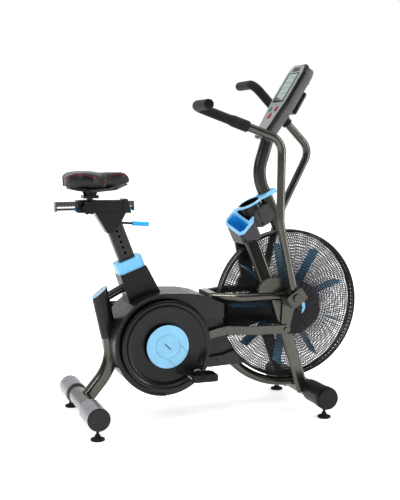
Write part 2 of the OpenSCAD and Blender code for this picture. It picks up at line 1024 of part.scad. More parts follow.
// right arm about its pivot, outward towards -y
module arm_shape() {
  color([0.40, 0.40, 0.36]) {
    difference() {
      arm_path(2 * arm_r);
      arm_path(2 * arm_r - 4);
      rotate([0, -35, 0]) plate_y(-40, 40) cut_rect(72, 52, 6);
    }
    difference() {
      rotate([0, -35, 0]) plate_y(-30, 36) cut_rect(72, 52, 6);
      cyl_y(10 + cl, -50, 50);
    }
    difference() {
      plate_y(36, 40) union() {
        circle(r = 30);
        polygon([[-30, 0], [28, -8], [-4, -128], [-37, -122]]);
        translate([-20, -125]) circle(r = 17);
      }
      cyl_y(10 + cl, 30, 50);
    }
    translate([-20, 0, -125]) cyl_y(10, 34.6, 36);
  }
  color([0.15, 0.15, 0.15]) {
    translate([-20, 0, -125]) cyl_y(6, 23, 34.6);
    translate([-20, 0, -125]) cyl_y(9, 18, 23);
  }
}

module arm_right() {
  translate([pivot_x, -arm_y, pivot_z]) arm_shape();
}

module arm_left() {
  translate([pivot_x, arm_y, pivot_z]) rotate([0, arm_swing, 0]) left() arm_shape();
}

// foam sleeves over the sloping part and the outward stub
module grip_shape() {
  color([0.13, 0.13, 0.14])
  translate([-4, 0, 30])
    rotate([0, -12.6, 0])
      translate([0, 0, 239])
        translate([150 * (1 - cos(13.35)), 0, 150 * sin(13.35)])
          rotate([0, 13.35, 0])
            translate([0, 0, 242])
              translate([-65 * (1 - cos(71.15)), 0, 65 * sin(71.15)])
                rotate([0, -71.15, 0]) {
                  translate([0, 0, 22]) difference() {
                    union() {
                      cylinder(r = 21, h = 75);
                      translate([0, 0, 75]) cylinder(r1 = 21, r2 = 18, h = 12);
                      translate([0, 0, 87]) cylinder(r = 18, h = 160);
                    }
                    translate([0, 0, -1]) cylinder(r = arm_r + 0.25, h = 260);
                  }
                  translate([0, 0, 275]) rotate([0, 0, -90]) translate([38, 0, 38]) rotate([0, 90, 0]) {
                    difference() {
                      cylinder(r = 18, h = stub_l - 44);
                      translate([0, 0, -1]) cylinder(r = arm_r + 0.25, h = stub_l);
                    }
                    translate([0, 0, stub_l - 40]) cylinder(r = 17, h = 4);
                  }
                }
}

module grips_right() {
  translate([pivot_x, -arm_y, pivot_z]) grip_shape();
}

module grips_left() {
  translate([pivot_x, arm_y, pivot_z]) rotate([0, arm_swing, 0]) left() grip_shape();
}

// link bar, front eye at the origin, running back and inwards; right side
module link_shape() {
  color([0.40, 0.40, 0.36])
  difference() {
    union() {
      plate_y(-141, -131) union() {
        circle(r = 16);
        polygon([[0, 16], [0, -16], [-150, -13], [-150, 19]]);
      }
      intersection() {
        plate_y(-145, -90) polygon([[-150, 19], [-150, -13], [-228, -11.5], [-330, -34.5], [-330, -4.5], [-228, 21]]);
        linear_extrude(height = 400, center = true)
          polygon([[-150, -141], [-150, -131], [-264, -93], [-331, -93], [-331, -103], [-262, -103]]);
      }
      plate_y(-103, -93) union() {
        translate([-441, -47]) circle(r = 12);
        polygon([[-330, -4.5], [-330, -34.5], [-400, -46.5], [-428, -46.5], [-441, -52], [-441, -36],
          [-428, -25], [-405, -22]]);
      }
    }
    cyl_y(6 + cl, -160, -120);
    translate([-441, 0, -47]) cyl_y(6 + cl, -120, -80);
  }
}

module link_right() {
  translate([pivot_x - 20, 0, pivot_z - 125]) link_shape();
}

module link_left() {
  translate([pivot_x - 20 * cos(arm_swing) - 125 * sin(arm_swing), 0,
    pivot_z + 20 * sin(arm_swing) - 125 * cos(arm_swing)]) left() link_shape();
}

// ---------- bottle and phone holder ----------

module holder_frame() {
  translate([128, 0, 640]) rotate([0, -24.5, 0]) children();
}

// plan of the tray box, z along the holder
module tray_plan(x1, g) {
  polygon([[g, -70 + g], [x1 - 14, -70 + g], [x1 - g, -56], [x1 - g, 56], [x1 - 14, 70 - g], [g, 70 - g],
    [-14 + g, 54], [-14 + g, -54]]);
}

// everything above the slanted rim, lowered by d
module rim_cut(d) {
  holder_frame() translate([0, 0, 85 - d]) rotate([0, -23.7, 0]) rotate([15.4, 0, 0])
    translate([-150, -150, 0]) cube([300, 300, 150]);
}

module cup_frame() {
  translate([150, 0, 806]) rotate([0, -28, 0]) children();
}

module mast_solid(g) {
  mast_path(50 + g, 34 + g);
}

module holder_trim() {
  color([0.45, 0.76, 0.90])
  difference() {
    union() {
      cup_frame() translate([0, 0, -8]) cylinder(r = 49, h = 8);
      cup_frame() translate([0, -36, -8]) cube([70, 72, 8]);
      translate([222, 0, 838]) rotate([0, -24.5, 0]) translate([-34, -26, -8]) cube([68, 52, 16]);
    }
    cup_frame() translate([0, 0, -30]) cylinder(r = 42, h = 60);
    mast_solid(0);
  }
  color([0.45, 0.76, 0.90])
  difference() {
    intersection() {
      holder_frame() difference() {
        linear_extrude(height = 160) tray_plan(62, -2.5);
        translate([0, 0, -1]) linear_extrude(height = 162) tray_plan(44, 6);
      }
      rim_cut(7);
    }
    rim_cut(0);
    cup_frame() translate([0, 0, -90]) cylinder(r = 49.5, h = 120);
    holder_frame() translate([42.5, -50, -1]) cube([30, 100, 162]);
  }
  color([0.05, 0.55, 0.85])
  difference() {
    holder_frame() difference() {
      translate([0, 0, 30]) linear_extrude(height = 110) tray_plan(42, 3.4);
      translate([0, 0, 33]) linear_extrude(height = 110) tray_plan(42, 6);
    }
    rim_cut(7.2);
  }
}

module cup_liner() {
  color([0.03, 0.03, 0.03])
  cup_frame() difference() {
    translate([0, 0, -62]) cylinder(r = 41.5, h = 61);
    translate([0, 0, -59]) cylinder(r = 38.5, h = 70);
  }
}

module cup_case_outline() {
  polygon([[150, 745], [164, 778], [209, 801], [243, 757], [222, 728], [189, 712], [168, 712]]);
}

module holder_body() {
  color([0.36, 0.36, 0.38])
  difference() {
    plate_y(-42, 42) cup_case_outline();
    plate_y(-39, 39) offset(delta = -3) cup_case_outline();
    cup_frame() translate([0, 0, -70]) cylinder(r = 42, h = 90);
    cup_frame() translate([-60, -60, -8]) cube([160, 120, 60]);
    mast_solid(0.4);
    holder_frame() translate([30, -16, 49]) cube([115, 32, 16]);
  }
  color([0.30, 0.29, 0.32])
  difference() {
    intersection() {
      holder_frame() translate([0, 0, -20]) linear_extrude(height = 170) tray_plan(62, 0);
      holder_frame() plate_y(-80, 80) polygon([[-16, 23], [2, -2], [64, 16], [64, 150], [-16, 150]]);
    }
    holder_frame() translate([0, 0, -21]) linear_extrude(height = 172) tray_plan(62, 3);
    rim_cut(7.2);
    cup_frame() translate([0, 0, -90]) cylinder(r = 42, h = 120);
    cup_frame() translate([0, 0, -9]) cylinder(r = 50, h = 40);
    holder_frame() translate([40, -16, 20]) cube([40, 32, 50]);
    at_fan() cyl_y(292, -75, 75);
    upright_cut();
    left() upright_cut();
  }
}

module upright_cut() {
  translate([200, side_y, pivot_z])
    rotate([15, 0, 0])
      rotate([0, -16, 0])
        run(300, 58, 28);
}

// ---------- console ----------

module console_frame() {
  translate([205, 0, 1091]) rotate([0, 32, 0]) children();
}

module console_plan(g) {
  polygon([[-52 + g, g], [52 - g, g], [85 - g, 60], [85 - g, 250], [66 - g, 285 - g], [-66 + g, 285 - g],
    [-85 + g, 250], [-85 + g, 60]]);
}

// outline in (y, z) pushed along x
module plate_x(x0, x1) {
  translate([x0, 0, 0]) rotate([90, 0, 90]) linear_extrude(height = x1 - x0) children();
}

module console_body() {
  color([0.08, 0.08, 0.09])
  difference() {
    console_frame() plate_x(3, 18) console_plan(0);
    console_frame() translate([2, -41, 121]) cube([6, 82, 121]);
    mast_solid(0);
  }
  color([0.45, 0.46, 0.47])
  difference() {
    console_frame() plate_x(18, 50) console_plan(4);
    mast_solid(0);
  }
  color([0.10, 0.10, 0.11])
  difference() {
    console_frame() plate_x(50, 76) translate([0, 100]) polygon([[-50, 0], [50, 0], [44, 95], [-44, 95]]);
    mast_solid(0);
  }
}

module console_face() {
  color([0.72, 0.73, 0.74])
  console_frame() difference() {
    plate_x(0, 3) console_plan(3);
    translate([-1, -41, 121]) cube([5, 82, 121]);
    translate([-1, 0, 52]) rotate([0, 90, 0]) cylinder(r = 11 + 0.3, h = 6);
    translate([-1, -26, 82]) rotate([0, 90, 0]) cylinder(r = 9 + 0.3, h = 6);
    translate([-1, 26, 82]) rotate([0, 90, 0]) cylinder(r = 9 + 0.3, h = 6);
  }
  color([0.55, 0.75, 0.60])
  console_frame() translate([1, -40.7, 121.3]) cube([4, 81.4, 120.4]);
}

module key(y, z, r) {
  console_frame() translate([-1.6, y, z]) rotate([0, 90, 0]) cylinder(r = r, h = 3);
}

module key_start() {
  color([0.75, 0.12, 0.10]) key(0, 52, 11);
}

module key_mode() {
  color([0.10, 0.55, 0.25]) key(26, 82, 9);
}

module key_reset() {
  color([0.75, 0.12, 0.10]) key(-26, 82, 9);
}

rear_stabilizer();
front_stabilizer();
rear_caps();
front_caps();
foot_rear_right();
foot_rear_left();
foot_front_right();
foot_front_left();
rear_leg();
rear_leg_cover();
main_frame();
hoop_tube();
side_arm_right();
side_arm_left();
upright_right();
upright_left();
front_leg_right();
front_leg_left();
mast();
shell_right();
shell_left();
shell_screws();
belt_guard();
seat_shroud();
seat_collar();
holder_trim();
holder_body();
cup_liner();
console_body();
console_face();
key_start();
key_mode();
key_reset();
cage_right();
cage_left();
cage_band();
hub_covers();
fan_hub();
fan_blades();
fan_axle();
belt();
crank_spindle();
crank_right();
crank_left();
pedal_right();
pedal_left();
arm_right();
arm_left();
grips_right();
grips_left();
link_right();
link_left();
seat_post();
seat_carriage();
seat_rail();
clamp_knob();
height_lever();
saddle_clamp();
saddle_base();
saddle();
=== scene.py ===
import json
import math
import random

import bmesh
import bpy
from mathutils import Matrix, Vector, noise


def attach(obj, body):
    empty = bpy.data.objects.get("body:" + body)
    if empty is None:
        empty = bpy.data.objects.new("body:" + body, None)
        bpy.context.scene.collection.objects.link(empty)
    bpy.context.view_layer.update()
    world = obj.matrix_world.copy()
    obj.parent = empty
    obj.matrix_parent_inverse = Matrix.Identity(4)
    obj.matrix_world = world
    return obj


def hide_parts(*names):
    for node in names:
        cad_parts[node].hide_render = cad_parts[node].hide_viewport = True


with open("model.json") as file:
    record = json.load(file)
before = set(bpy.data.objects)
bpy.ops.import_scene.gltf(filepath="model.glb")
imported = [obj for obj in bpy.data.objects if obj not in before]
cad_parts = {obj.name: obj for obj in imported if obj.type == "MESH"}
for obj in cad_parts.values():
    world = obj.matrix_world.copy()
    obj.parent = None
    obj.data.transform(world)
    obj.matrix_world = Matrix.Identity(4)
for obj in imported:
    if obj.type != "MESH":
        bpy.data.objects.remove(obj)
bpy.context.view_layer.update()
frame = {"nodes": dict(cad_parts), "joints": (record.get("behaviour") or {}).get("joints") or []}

NODES = frame["nodes"]
JOINT = {j["name"]: j for j in frame["joints"]}


# ---------------------------------------------------------------- materials

SOFT_EDGE = 0.0016


def srgb(r, g, b):
    """0-255 display colour as a linear triple."""
    out = []
    for c in (r, g, b):
        c /= 255.0
        out.append(c / 12.92 if c <= 0.04045 else ((c + 0.055) / 1.055) ** 2.4)
    return out


class Mat:
    """A node material with a Principled shader and object-space coordinates."""

    def __init__(self, name):
        self.material = bpy.data.materials.new(name)
        self.material.use_nodes = True
        self.tree = self.material.node_tree
        self.shader = self.tree.nodes["Principled BSDF"]
        self.place = self.add("ShaderNodeTexCoord").outputs["Object"]
        self.normal = None

    def add(self, kind, **props):
        node = self.tree.nodes.new(kind)
        for key, value in props.items():
            setattr(node, key, value)
        return node

    def put(self, socket, value):
        if isinstance(value, bpy.types.NodeSocket):
            self.tree.links.new(value, socket)
        elif isinstance(value, (tuple, list)) and len(value) == 3 and socket.type == "RGBA":
            socket.default_value = (*value, 1.0)
        else:
            socket.default_value = value

    def math(self, op, a, b=0.0, c=0.0):
        node = self.add("ShaderNodeMath", operation=op)
        for k, v in enumerate((a, b, c)):
            self.put(node.inputs[k], v)
        return node.outputs[0]

    def vec(self, op, a, b=(0, 0, 0)):
        node = self.add("ShaderNodeVectorMath", operation=op)
        self.put(node.inputs[0], a)
        self.put(node.inputs[1], b)
        return node.outputs["Value" if op in ("LENGTH", "DOT_PRODUCT") else "Vector"]

    def scaled(self, x, y, z):
        node = self.add("ShaderNodeMapping")
        self.put(node.inputs["Vector"], self.place)
        node.inputs["Scale"].default_value = (x, y, z)
        return node.outputs[0]

    def noise(self, scale, detail=3.0, rough=0.5, where=None):
        node = self.add("ShaderNodeTexNoise")
        self.put(node.inputs["Vector"], where if where is not None else self.place)
        node.inputs["Scale"].default_value = scale
        node.inputs["Detail"].default_value = detail
        node.inputs["Roughness"].default_value = rough
        return node.outputs["Fac"]

    def cells(self, scale, feature="F1", where=None, out="Distance"):
        node = self.add("ShaderNodeTexVoronoi", feature=feature)
        self.put(node.inputs["Vector"], where if where is not None else self.place)
        node.inputs["Scale"].default_value = scale
        return node.outputs[out]

    def fit(self, value, lo, hi, new_lo, new_hi):
        node = self.add("ShaderNodeMapRange")
        for k, v in enumerate((value, lo, hi, new_lo, new_hi)):
            self.put(node.inputs[k], v)
        return node.outputs[0]

    def mix(self, factor, a, b):
        node = self.add("ShaderNodeMix", data_type="RGBA")
        self.put(node.inputs["Factor"], factor)
        self.put(node.inputs[6], a)
        self.put(node.inputs[7], b)
        return node.outputs[2]

    def bump(self, height, strength, distance):
        node = self.add("ShaderNodeBump")
        node.inputs["Strength"].default_value = strength
        node.inputs["Distance"].default_value = distance
        self.put(node.inputs["Height"], height)
        if self.normal is not None:
            self.put(node.inputs["Normal"], self.normal)
        self.normal = node.outputs[0]
        return self.normal

    def rounded(self, radius):
        """Soft edges, and a mask that is high where an edge is."""
        node = self.add("ShaderNodeBevel")
        node.samples = 4
        node.inputs["Radius"].default_value = radius
        self.normal = node.outputs[0]
        flat = self.add("ShaderNodeNewGeometry").outputs["Normal"]
        same = self.vec("DOT_PRODUCT", node.outputs[0], flat)
        return self.fit(same, 0.995, 0.85, 0.0, 1.0)

    def along(self, point, axis, low=None, high=None):
        """1 where the distance along axis from point is between low and high."""
        s = self.vec("DOT_PRODUCT", self.vec("SUBTRACT", self.place, tuple(point)), tuple(axis))
        mask = None
        if low is not None:
            mask = self.math("GREATER_THAN", s, low)
        if high is not None:
            top = self.math("LESS_THAN", s, high)
            mask = top if mask is None else self.math("MULTIPLY", mask, top)
        return mask

    def around(self, point, radius):
        """1 within radius of the line through point along Y."""
        flat = self.vec("MULTIPLY", self.vec("SUBTRACT", self.place, tuple(point)), (1, 0, 1))
        return self.math("LESS_THAN", self.vec("LENGTH", flat), radius)

    def both(self, a, b):
        """1 where both masks are 1."""
        return self.math("MULTIPLY", a, b)

    def done(self, **fixed):
        if self.normal is not None:
            self.put(self.shader.inputs["Normal"], self.normal)
        for key, value in fixed.items():
            self.put(self.shader.inputs[key.replace("_", " ")], value)
        return self.material


def toned(m, colour, spread, scale):
    """A colour that drifts a little over the surface."""
    dark = [c * (1 - spread) for c in colour]
    light = [min(1.0, c * (1 + spread)) for c in colour]
    return m.mix(m.fit(m.noise(scale, 4.0, 0.6), 0.3, 0.7, 0.0, 1.0), dark, light)


def painted(name, colour, rough=0.24, metallic=0.85, fleck=0.18, edge=SOFT_EDGE, zones=()):
    """Metallic paint: flake, slight orange peel, soft edges lightened in scuffed patches, partly wear and partly a
    painted highlight.
    """
    m = Mat(name)
    edge_wear_and_highlight = m.rounded(edge)
    base = toned(m, colour, 0.10, 6.0)
    flake = m.fit(m.cells(1600.0, out="Color"), 0.0, 1.0, 1.0 - fleck, 1.0 + fleck)
    node = m.add("ShaderNodeMix", data_type="RGBA", blend_type="MULTIPLY")
    node.inputs["Factor"].default_value = 1.0
    m.put(node.inputs[6], base)
    m.put(node.inputs[7], flake)
    base = node.outputs[2]
    scuff = m.fit(m.noise(90.0, 6.0, 0.7), 0.45, 0.62, 0.0, 1.0)
    edge_wear_and_highlight = m.math("MULTIPLY", m.both(edge_wear_and_highlight, scuff), 0.5)
    # partly wear, partly painted highlight: edges lightened in colour where the scuff noise lets it through
    base = m.mix(edge_wear_and_highlight, base, [min(1, c * 2.2 + 0.03) for c in colour])
    rough_map = m.fit(m.noise(14.0, 5.0, 0.6), 0.3, 0.7, rough - 0.05, rough + 0.07)
    for zone, zone_colour, zone_rough in zones:
        mask = zone(m)
        base = m.mix(mask, base, toned(m, zone_colour, 0.06, 12.0))
        step = m.add("ShaderNodeMix", data_type="FLOAT")
        m.put(step.inputs[0], mask)
        m.put(step.inputs[2], rough_map)
        m.put(step.inputs[3], zone_rough)
        rough_map = step.outputs[0]
    m.bump(m.noise(420.0, 2.0, 0.5), 0.06, 0.0004)
    return m.done(
        Base_Color=base, Roughness=rough_map, Metallic=metallic, Coat_Weight=0.5, Coat_Roughness=0.06
    )


def plastic(
    name, colour, rough=0.45, grain=900.0, depth=0.18, coat=0.0, edge=SOFT_EDGE, zones=(), spread=0.07
):
    """Moulded plastic: fine spark-eroded grain, uneven sheen, edges lightened in colour as a painted highlight."""
    m = Mat(name)
    edge_wear_and_highlight = m.rounded(edge)
    base = toned(m, colour, spread, 9.0)
    for zone, zone_colour in zones:
        base = m.mix(zone(m), base, toned(m, zone_colour, 0.05, 9.0))
    dust = m.fit(m.noise(38.0, 6.0, 0.65), 0.5, 0.75, 0.0, 0.03)
    base = m.mix(dust, base, (0.30, 0.30, 0.31))
    # painted highlight: every edge lightened in colour
    base = m.mix(m.math("MULTIPLY", edge_wear_and_highlight, 0.14), base, [min(1.0, c * 1.6 + 0.04) for c in colour])
    rough_map = m.fit(m.noise(22.0, 5.0, 0.6), 0.3, 0.7, rough - 0.06, rough + 0.08)
    m.bump(m.noise(grain, 3.0, 0.6), depth, 0.0003)
    return m.done(Base_Color=base, Roughness=rough_map, Coat_Weight=coat, Coat_Roughness=0.12)


def steel(name, colour, rough=0.25, brush=(40.0, 40.0, 1200.0)):
    """Bare turned or drawn steel with fine lines."""
    m = Mat(name)
    m.rounded(0.0008)
    lines = m.noise(1.0, 4.0, 0.6, m.scaled(*brush))
    base = m.mix(m.fit(lines, 0.35, 0.65, 0.0, 1.0), [c * 0.82 for c in colour], colour)
    rough_map = m.fit(lines, 0.3, 0.7, rough - 0.06, rough + 0.12)
    m.bump(lines, 0.08, 0.0002)
    return m.done(Base_Color=base, Roughness=rough_map, Metallic=1.0)


def rubbery(name, colour, rough=0.75, scale=1100.0, depth=0.5, sheen=0.1):
    """Foam or rubber: pitted skin, dull, slightly dusty."""
    m = Mat(name)
    pits = m.cells(scale)
    fine = m.noise(scale * 1.7, 3.0, 0.6)
    skin = m.math("ADD", m.math("MULTIPLY", pits, 0.7), m.math("MULTIPLY", fine, 0.3))
    base = m.mix(m.fit(skin, 0.15, 0.6, 0.0, 1.0), [c * 0.6 for c in colour], [c * 1.35 for c in colour])
    dust = m.fit(m.noise(30.0, 5.0, 0.6), 0.5, 0.75, 0.0, 0.25)
    base = m.mix(dust, base, [c * 1.8 + 0.01 for c in colour])
    m.bump(skin, depth, 0.0006)
    rough_map = m.fit(m.noise(50.0, 4.0), 0.3, 0.7, rough - 0.08, rough + 0.1)
    return m.done(Base_Color=base, Roughness=rough_map, Sheen_Weight=sheen)


def leather(name, colour, rough=0.42):
    """Fine pebbled leather with creases and a soft shine."""
    m = Mat(name)
    pebble = m.cells(620.0, feature="SMOOTH_F1")
    crack = m.cells(620.0, feature="DISTANCE_TO_EDGE")
    crease = m.noise(46.0, 6.0, 0.6, m.scaled(1.0, 2.4, 1.0))
    skin = m.math("ADD", m.fit(crack, 0.0, 0.12, 0.0, 1.0), m.math("MULTIPLY", pebble, -0.3))
    pores = m.fit(crack, 0.0, 0.10, 0.0, 1.0)
    base = m.mix(pores, [c * 0.55 for c in colour], toned(m, colour, 0.16, 20.0))
    base = m.mix(m.fit(m.noise(9.0, 4.0), 0.5, 0.8, 0.0, 0.3), base, [c * 1.5 for c in colour])
    m.bump(crease, 0.10, 0.0015)
    m.bump(skin, 0.32, 0.00035)
    rough_map = m.fit(m.noise(18.0, 5.0, 0.6), 0.3, 0.7, rough - 0.08, rough + 0.10)
    return m.done(
        Base_Color=base, Roughness=rough_map, Sheen_Weight=0.08, Coat_Weight=0.12, Coat_Roughness=0.35
    )


# ---------------------------------------------------------------- mesh helpers


def make(name, shape, material, body, smooth=32.0, bevel=0.0, segments=2, replaces=(), slot=None):
    """A mesh object from (verts, faces), riding on a CAD body."""
    mesh = bpy.data.meshes.new(name)
    mesh.from_pydata([tuple(v) for v in shape[0]], [], [tuple(f) for f in shape[1]])
    bm = bmesh.new()
    bm.from_mesh(mesh)
    bmesh.ops.remove_doubles(bm, verts=bm.verts, dist=1e-6)
    bmesh.ops.recalc_face_normals(bm, faces=bm.faces)
    bm.to_mesh(mesh)
    bm.free()
    obj = bpy.data.objects.new(name, mesh)
    bpy.context.scene.collection.objects.link(obj)
    mesh.materials.append(material)
    for p in mesh.polygons:
        p.use_smooth = True
    mesh.set_sharp_from_angle(angle=math.radians(smooth))
    if bevel:
        mod = obj.modifiers.new("edge", "BEVEL")
        mod.width = bevel
        mod.segments = segments
        mod.limit_method = "ANGLE"
        mod.angle_limit = math.radians(30)
    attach(obj, body)
    if replaces:
        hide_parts(*replaces)
    return obj


def maker(side, body, node):
    """A make() that adds the side to each name and hands it the node."""

    def add(name, shape, material, **extra):
        return make(f"{name}_{side}", shape, material, body, slot=node, **extra)

    return add


def strip(rows, n, closed_rows=False, closed_columns=True):
    """Quads between rows of n points that follow each other in one list."""
    faces = []
    for i in range(rows if closed_rows else rows - 1):
        j = (i + 1) % rows
        for k in range(n if closed_columns else n - 1):
            beside = (k + 1) % n
            faces.append((i * n + k, i * n + beside, j * n + beside, j * n + k))
    return faces


def lathe(profile, place, steps=96, closed=False):
    """Verts and faces of (radius, height) turned about local Z, moved by place."""
    verts = []
    for i in range(steps):
        a = 2 * math.pi * i / steps
        verts += [place @ Vector((r * math.cos(a), r * math.sin(a), h)) for r, h in profile]
    n = len(profile)
    faces = strip(steps, n, closed_rows=True, closed_columns=closed)
    if not closed:
        faces += [[i * n + k for i in range(steps)] for k in (0, n - 1) if profile[k][0] > 1e-6]
    return verts, faces


def tube(points, radius, sides=8, closed=False):
    """Round tube along a polyline, with a radius that may be a list."""
    pts = [Vector(p) for p in points]
    n = len(pts)
    radii = radius if isinstance(radius, list) else [radius] * n
    verts = []
    up = None
    for i, p in enumerate(pts):
        before = pts[i - 1] if (closed or i) else pts[i]
        after = pts[(i + 1) % n] if (closed or i < n - 1) else pts[i]
        d = (after - before).normalized()
        if up is None:
            up = d.orthogonal().normalized()
        up = (up - d * up.dot(d)).normalized()
        side = d.cross(up)
        for k in range(sides):
            a = 2 * math.pi * k / sides
            verts.append(p + (up * math.cos(a) + side * math.sin(a)) * radii[i])
    faces = strip(n, sides, closed_rows=closed)
    if not closed:
        faces += [list(range(sides)), list(range((n - 1) * sides, n * sides))]
    return verts, faces


def prism(outline, low, high, place):
    """Outline in local (x, z) pushed along local y from low to high."""
    n = len(outline)
    verts = [place @ Vector((x, y, z)) for y in (low, high) for x, z in outline]
    return verts, [list(range(n)), list(range(n, 2 * n)), *strip(2, n)]


def block(lo, hi, place):
    """A box between two corners."""
    outline = [(lo[0], lo[2]), (hi[0], lo[2]), (hi[0], hi[2]), (lo[0], hi[2])]
    return prism(outline, lo[1], hi[1], place)


def loft(rings, place):
    """Closed rings of (x, y, z) joined in order, with both ends capped."""
    verts = [place @ Vector(p) for ring in rings for p in ring]
    n = len(rings[0])
    caps = [list(range(n)), list(range(len(verts) - n, len(verts)))]
    return verts, strip(len(rings), n) + caps


def join(*parts):
    """Several (verts, faces) as one."""
    verts, faces = [], []
    for v, f in parts:
        base = len(verts)
        verts += v
        faces += [[base + k for k in face] for face in f]
    return verts, faces


def arc(cx, cz, r, a0, a1, steps):
    """Points from angle a0 to a1, in degrees, both ends included."""
    angles = [math.radians(a0 + (a1 - a0) * i / steps) for i in range(steps + 1)]
    return [(cx + r * math.cos(a), cz + r * math.sin(a)) for a in angles]


def circle(centre, radius, y, steps):
    """Points round the line through centre along Y, shifted by y along it."""
    angles = [2 * math.pi * i / steps for i in range(steps)]
    return [centre + Vector((radius * math.cos(a), y, radius * math.sin(a))) for a in angles]


def chamfered(half_x, half_z, cut):
    """A rectangle about the origin with its corners cut off."""
    x, z = half_x - cut, half_z - cut
    return [(-x, -half_z), (x, -half_z), (half_x, -z), (half_x, z),
            (x, half_z), (-x, half_z), (-half_x, z), (-half_x, -z)]


def follow(points, x, ease=False):
    """Value at x on a line through (x, value) points; ease flattens it at each point."""
    for (x0, v0), (x1, v1) in zip(points, points[1:]):
        if x0 <= x <= x1:
            t = (x - x0) / (x1 - x0)
            if ease:
                t *= t * (3 - 2 * t)
            return v0 + (v1 - v0) * t
    return points[-1][1]


def turn_y(deg):
    """The CAD's rotation about +Y."""
    return Matrix.Rotation(math.radians(deg), 4, "Y")


def at(x, y, z):
    return Matrix.Translation(Vector((x, y, z)))


def outward(place):
    """Turns local Z to place's local Y, for parts lathed about an axle."""
    return place @ Matrix.Rotation(math.radians(-90), 4, "X")


def z_axis(matrix):
    return (matrix.to_3x3() @ Vector((0, 0, 1))).normalized()


def x_axis(matrix):
    return (matrix.to_3x3() @ Vector((1, 0, 0))).normalized()


# ---------------------------------------------------------------- colours and frames

SIDES = ("right", "left")
X, Y, Z = (1, 0, 0), (0, 1, 0), (0, 0, 1)
ORIGIN = (0, 0, 0)
MIRROR_Y = Matrix.Scale(-1, 4, Y)

GUNMETAL = srgb(98, 97, 91)
GUNMETAL_DARK = srgb(74, 74, 71)
BLACK = srgb(20, 20, 22)
SKY = srgb(150, 206, 236)
AZURE = srgb(58, 176, 232)

CRANK = Vector(JOINT["crank_spin"]["pos_m"])
FAN = Vector(JOINT["fan_spin"]["pos_m"])
PIVOT = Vector(JOINT["right_arm_swing"]["pos_m"])
LEVER = Vector(JOINT["height_lever_pull"]["pos_m"])
SWING = -JOINT["left_arm_swing"]["range_deg"][0]
SEAT_LEAN = 20.7
SEAT_FRAME = at(*CRANK) @ turn_y(-SEAT_LEAN)
HOLDER = at(0.128, 0, 0.640) @ turn_y(-24.5)
HOLDER_RIM = HOLDER @ at(0, 0, 0.085) @ turn_y(-23.7) @ Matrix.Rotation(math.radians(15.4), 4, "X")
CONSOLE = at(0.205, 0, 1.091) @ turn_y(32)

# the rear leg leaves its stabilizer straight, bends back and ends in the cover's slanted oval
REAR_STABILIZER_X = -0.504
LEG_BEND_R = 0.183
LEG_BEND = 52
LEG_TOP = (
    at(REAR_STABILIZER_X, 0, 0.079)
    @ turn_y(40)
    @ at(0, 0, 0.098)
    @ at(-LEG_BEND_R * (1 - math.cos(math.radians(LEG_BEND))), 0, LEG_BEND_R * math.sin(math.radians(LEG_BEND)))
    @ turn_y(-LEG_BEND)
)
LEG_FACE = LEG_TOP @ at(0, 0, 0.178) @ turn_y(-26)


# ---------------------------------------------------------------- CAD nodes that stay


def leg_ring(m):
    return m.along(LEG_FACE.translation, z_axis(LEG_FACE), 0.0002)


def leg_insert(m):
    """The pale oval inside the cover's blue ring."""
    local = m.vec("SUBTRACT", m.place, tuple(LEG_TOP.translation))
    across = m.math("DIVIDE", m.vec("DOT_PRODUCT", local, tuple(x_axis(LEG_TOP))), 0.0251)
    side = m.math("DIVIDE", m.vec("DOT_PRODUCT", local, Y), 0.0181)
    size = m.math("ADD", m.both(across, across), m.both(side, side))
    return m.both(m.along(LEG_FACE.translation, z_axis(LEG_FACE), -0.004), m.math("LESS_THAN", size, 1.0))


def bracket_zone(m):
    """The dark axle brackets on the front legs."""
    return m.both(m.along((0.2615, 0, 0), X, 0.0, 0.061), m.along((0, 0, 0.3075), Z, 0.0, 0.125))


def sleeve_end_left(m):
    return m.along(ORIGIN, Y, 0.2575)


def sleeve_end_right(m):
    return m.along(ORIGIN, Y, None, -0.2575)


def sleeve_seam(m):
    reach = m.math("ABSOLUTE", m.vec("DOT_PRODUCT", m.place, Y))
    return m.both(m.math("GREATER_THAN", reach, 0.2055), m.math("LESS_THAN", reach, 0.2085))


def rim_zone(m):
    """Everything but the tray liner below the slanted rim."""
    over = m.along(HOLDER_RIM.translation, z_axis(HOLDER_RIM), -0.0071)
    ahead = m.along(HOLDER.translation, x_axis(HOLDER), 0.043)
    return m.math("MAXIMUM", over, ahead)


def casing_zone(m):
    return m.along(HOLDER.translation, x_axis(HOLDER), None, 0.0625)


def hub_zone(m):
    return m.around(FAN, 0.0373)


def lever_grip_zone(m):
    return m.along(LEVER, z_axis(SEAT_FRAME @ turn_y(115)), 0.0419)


def bush_zone(m):
    """Both ends of the carriage sleeve."""
    rear = m.along((-0.52105, 0, 0), X, None, 0.0)
    return m.math("MAXIMUM", rear, m.along((-0.32195, 0, 0), X, 0.0))


frame_paint = painted("frame_paint", GUNMETAL)
frame_dark = painted("frame_dark", GUNMETAL_DARK, rough=0.36)
black_plastic = plastic("black_plastic", BLACK, rough=0.36, coat=0.15)
plum_plastic = plastic("plum_plastic", srgb(42, 39, 44), rough=0.34, coat=0.25)
bare_steel = steel("bare_steel", srgb(190, 190, 188))
rubber = rubbery("rubber", srgb(26, 26, 27), rough=0.7, scale=700.0, depth=0.25)
black_metal = painted("black_metal", srgb(26, 27, 28), rough=0.4, metallic=0.3, fleck=0.1)
leg_cover = plastic(
    "leg_cover", BLACK, rough=0.30, coat=0.25, zones=((leg_ring, SKY), (leg_insert, srgb(190, 196, 200)))
)
leg_metal = painted("leg_metal", GUNMETAL, zones=((bracket_zone, srgb(30, 30, 31), 0.45),))
SLEEVE_ENDS = ((sleeve_end_left, BLACK), (sleeve_end_right, BLACK))
sleeve_light = plastic(
    "sleeve_light", srgb(128, 130, 132), rough=0.30, coat=0.3, zones=(*SLEEVE_ENDS, (sleeve_seam, srgb(40, 40, 42)))
)
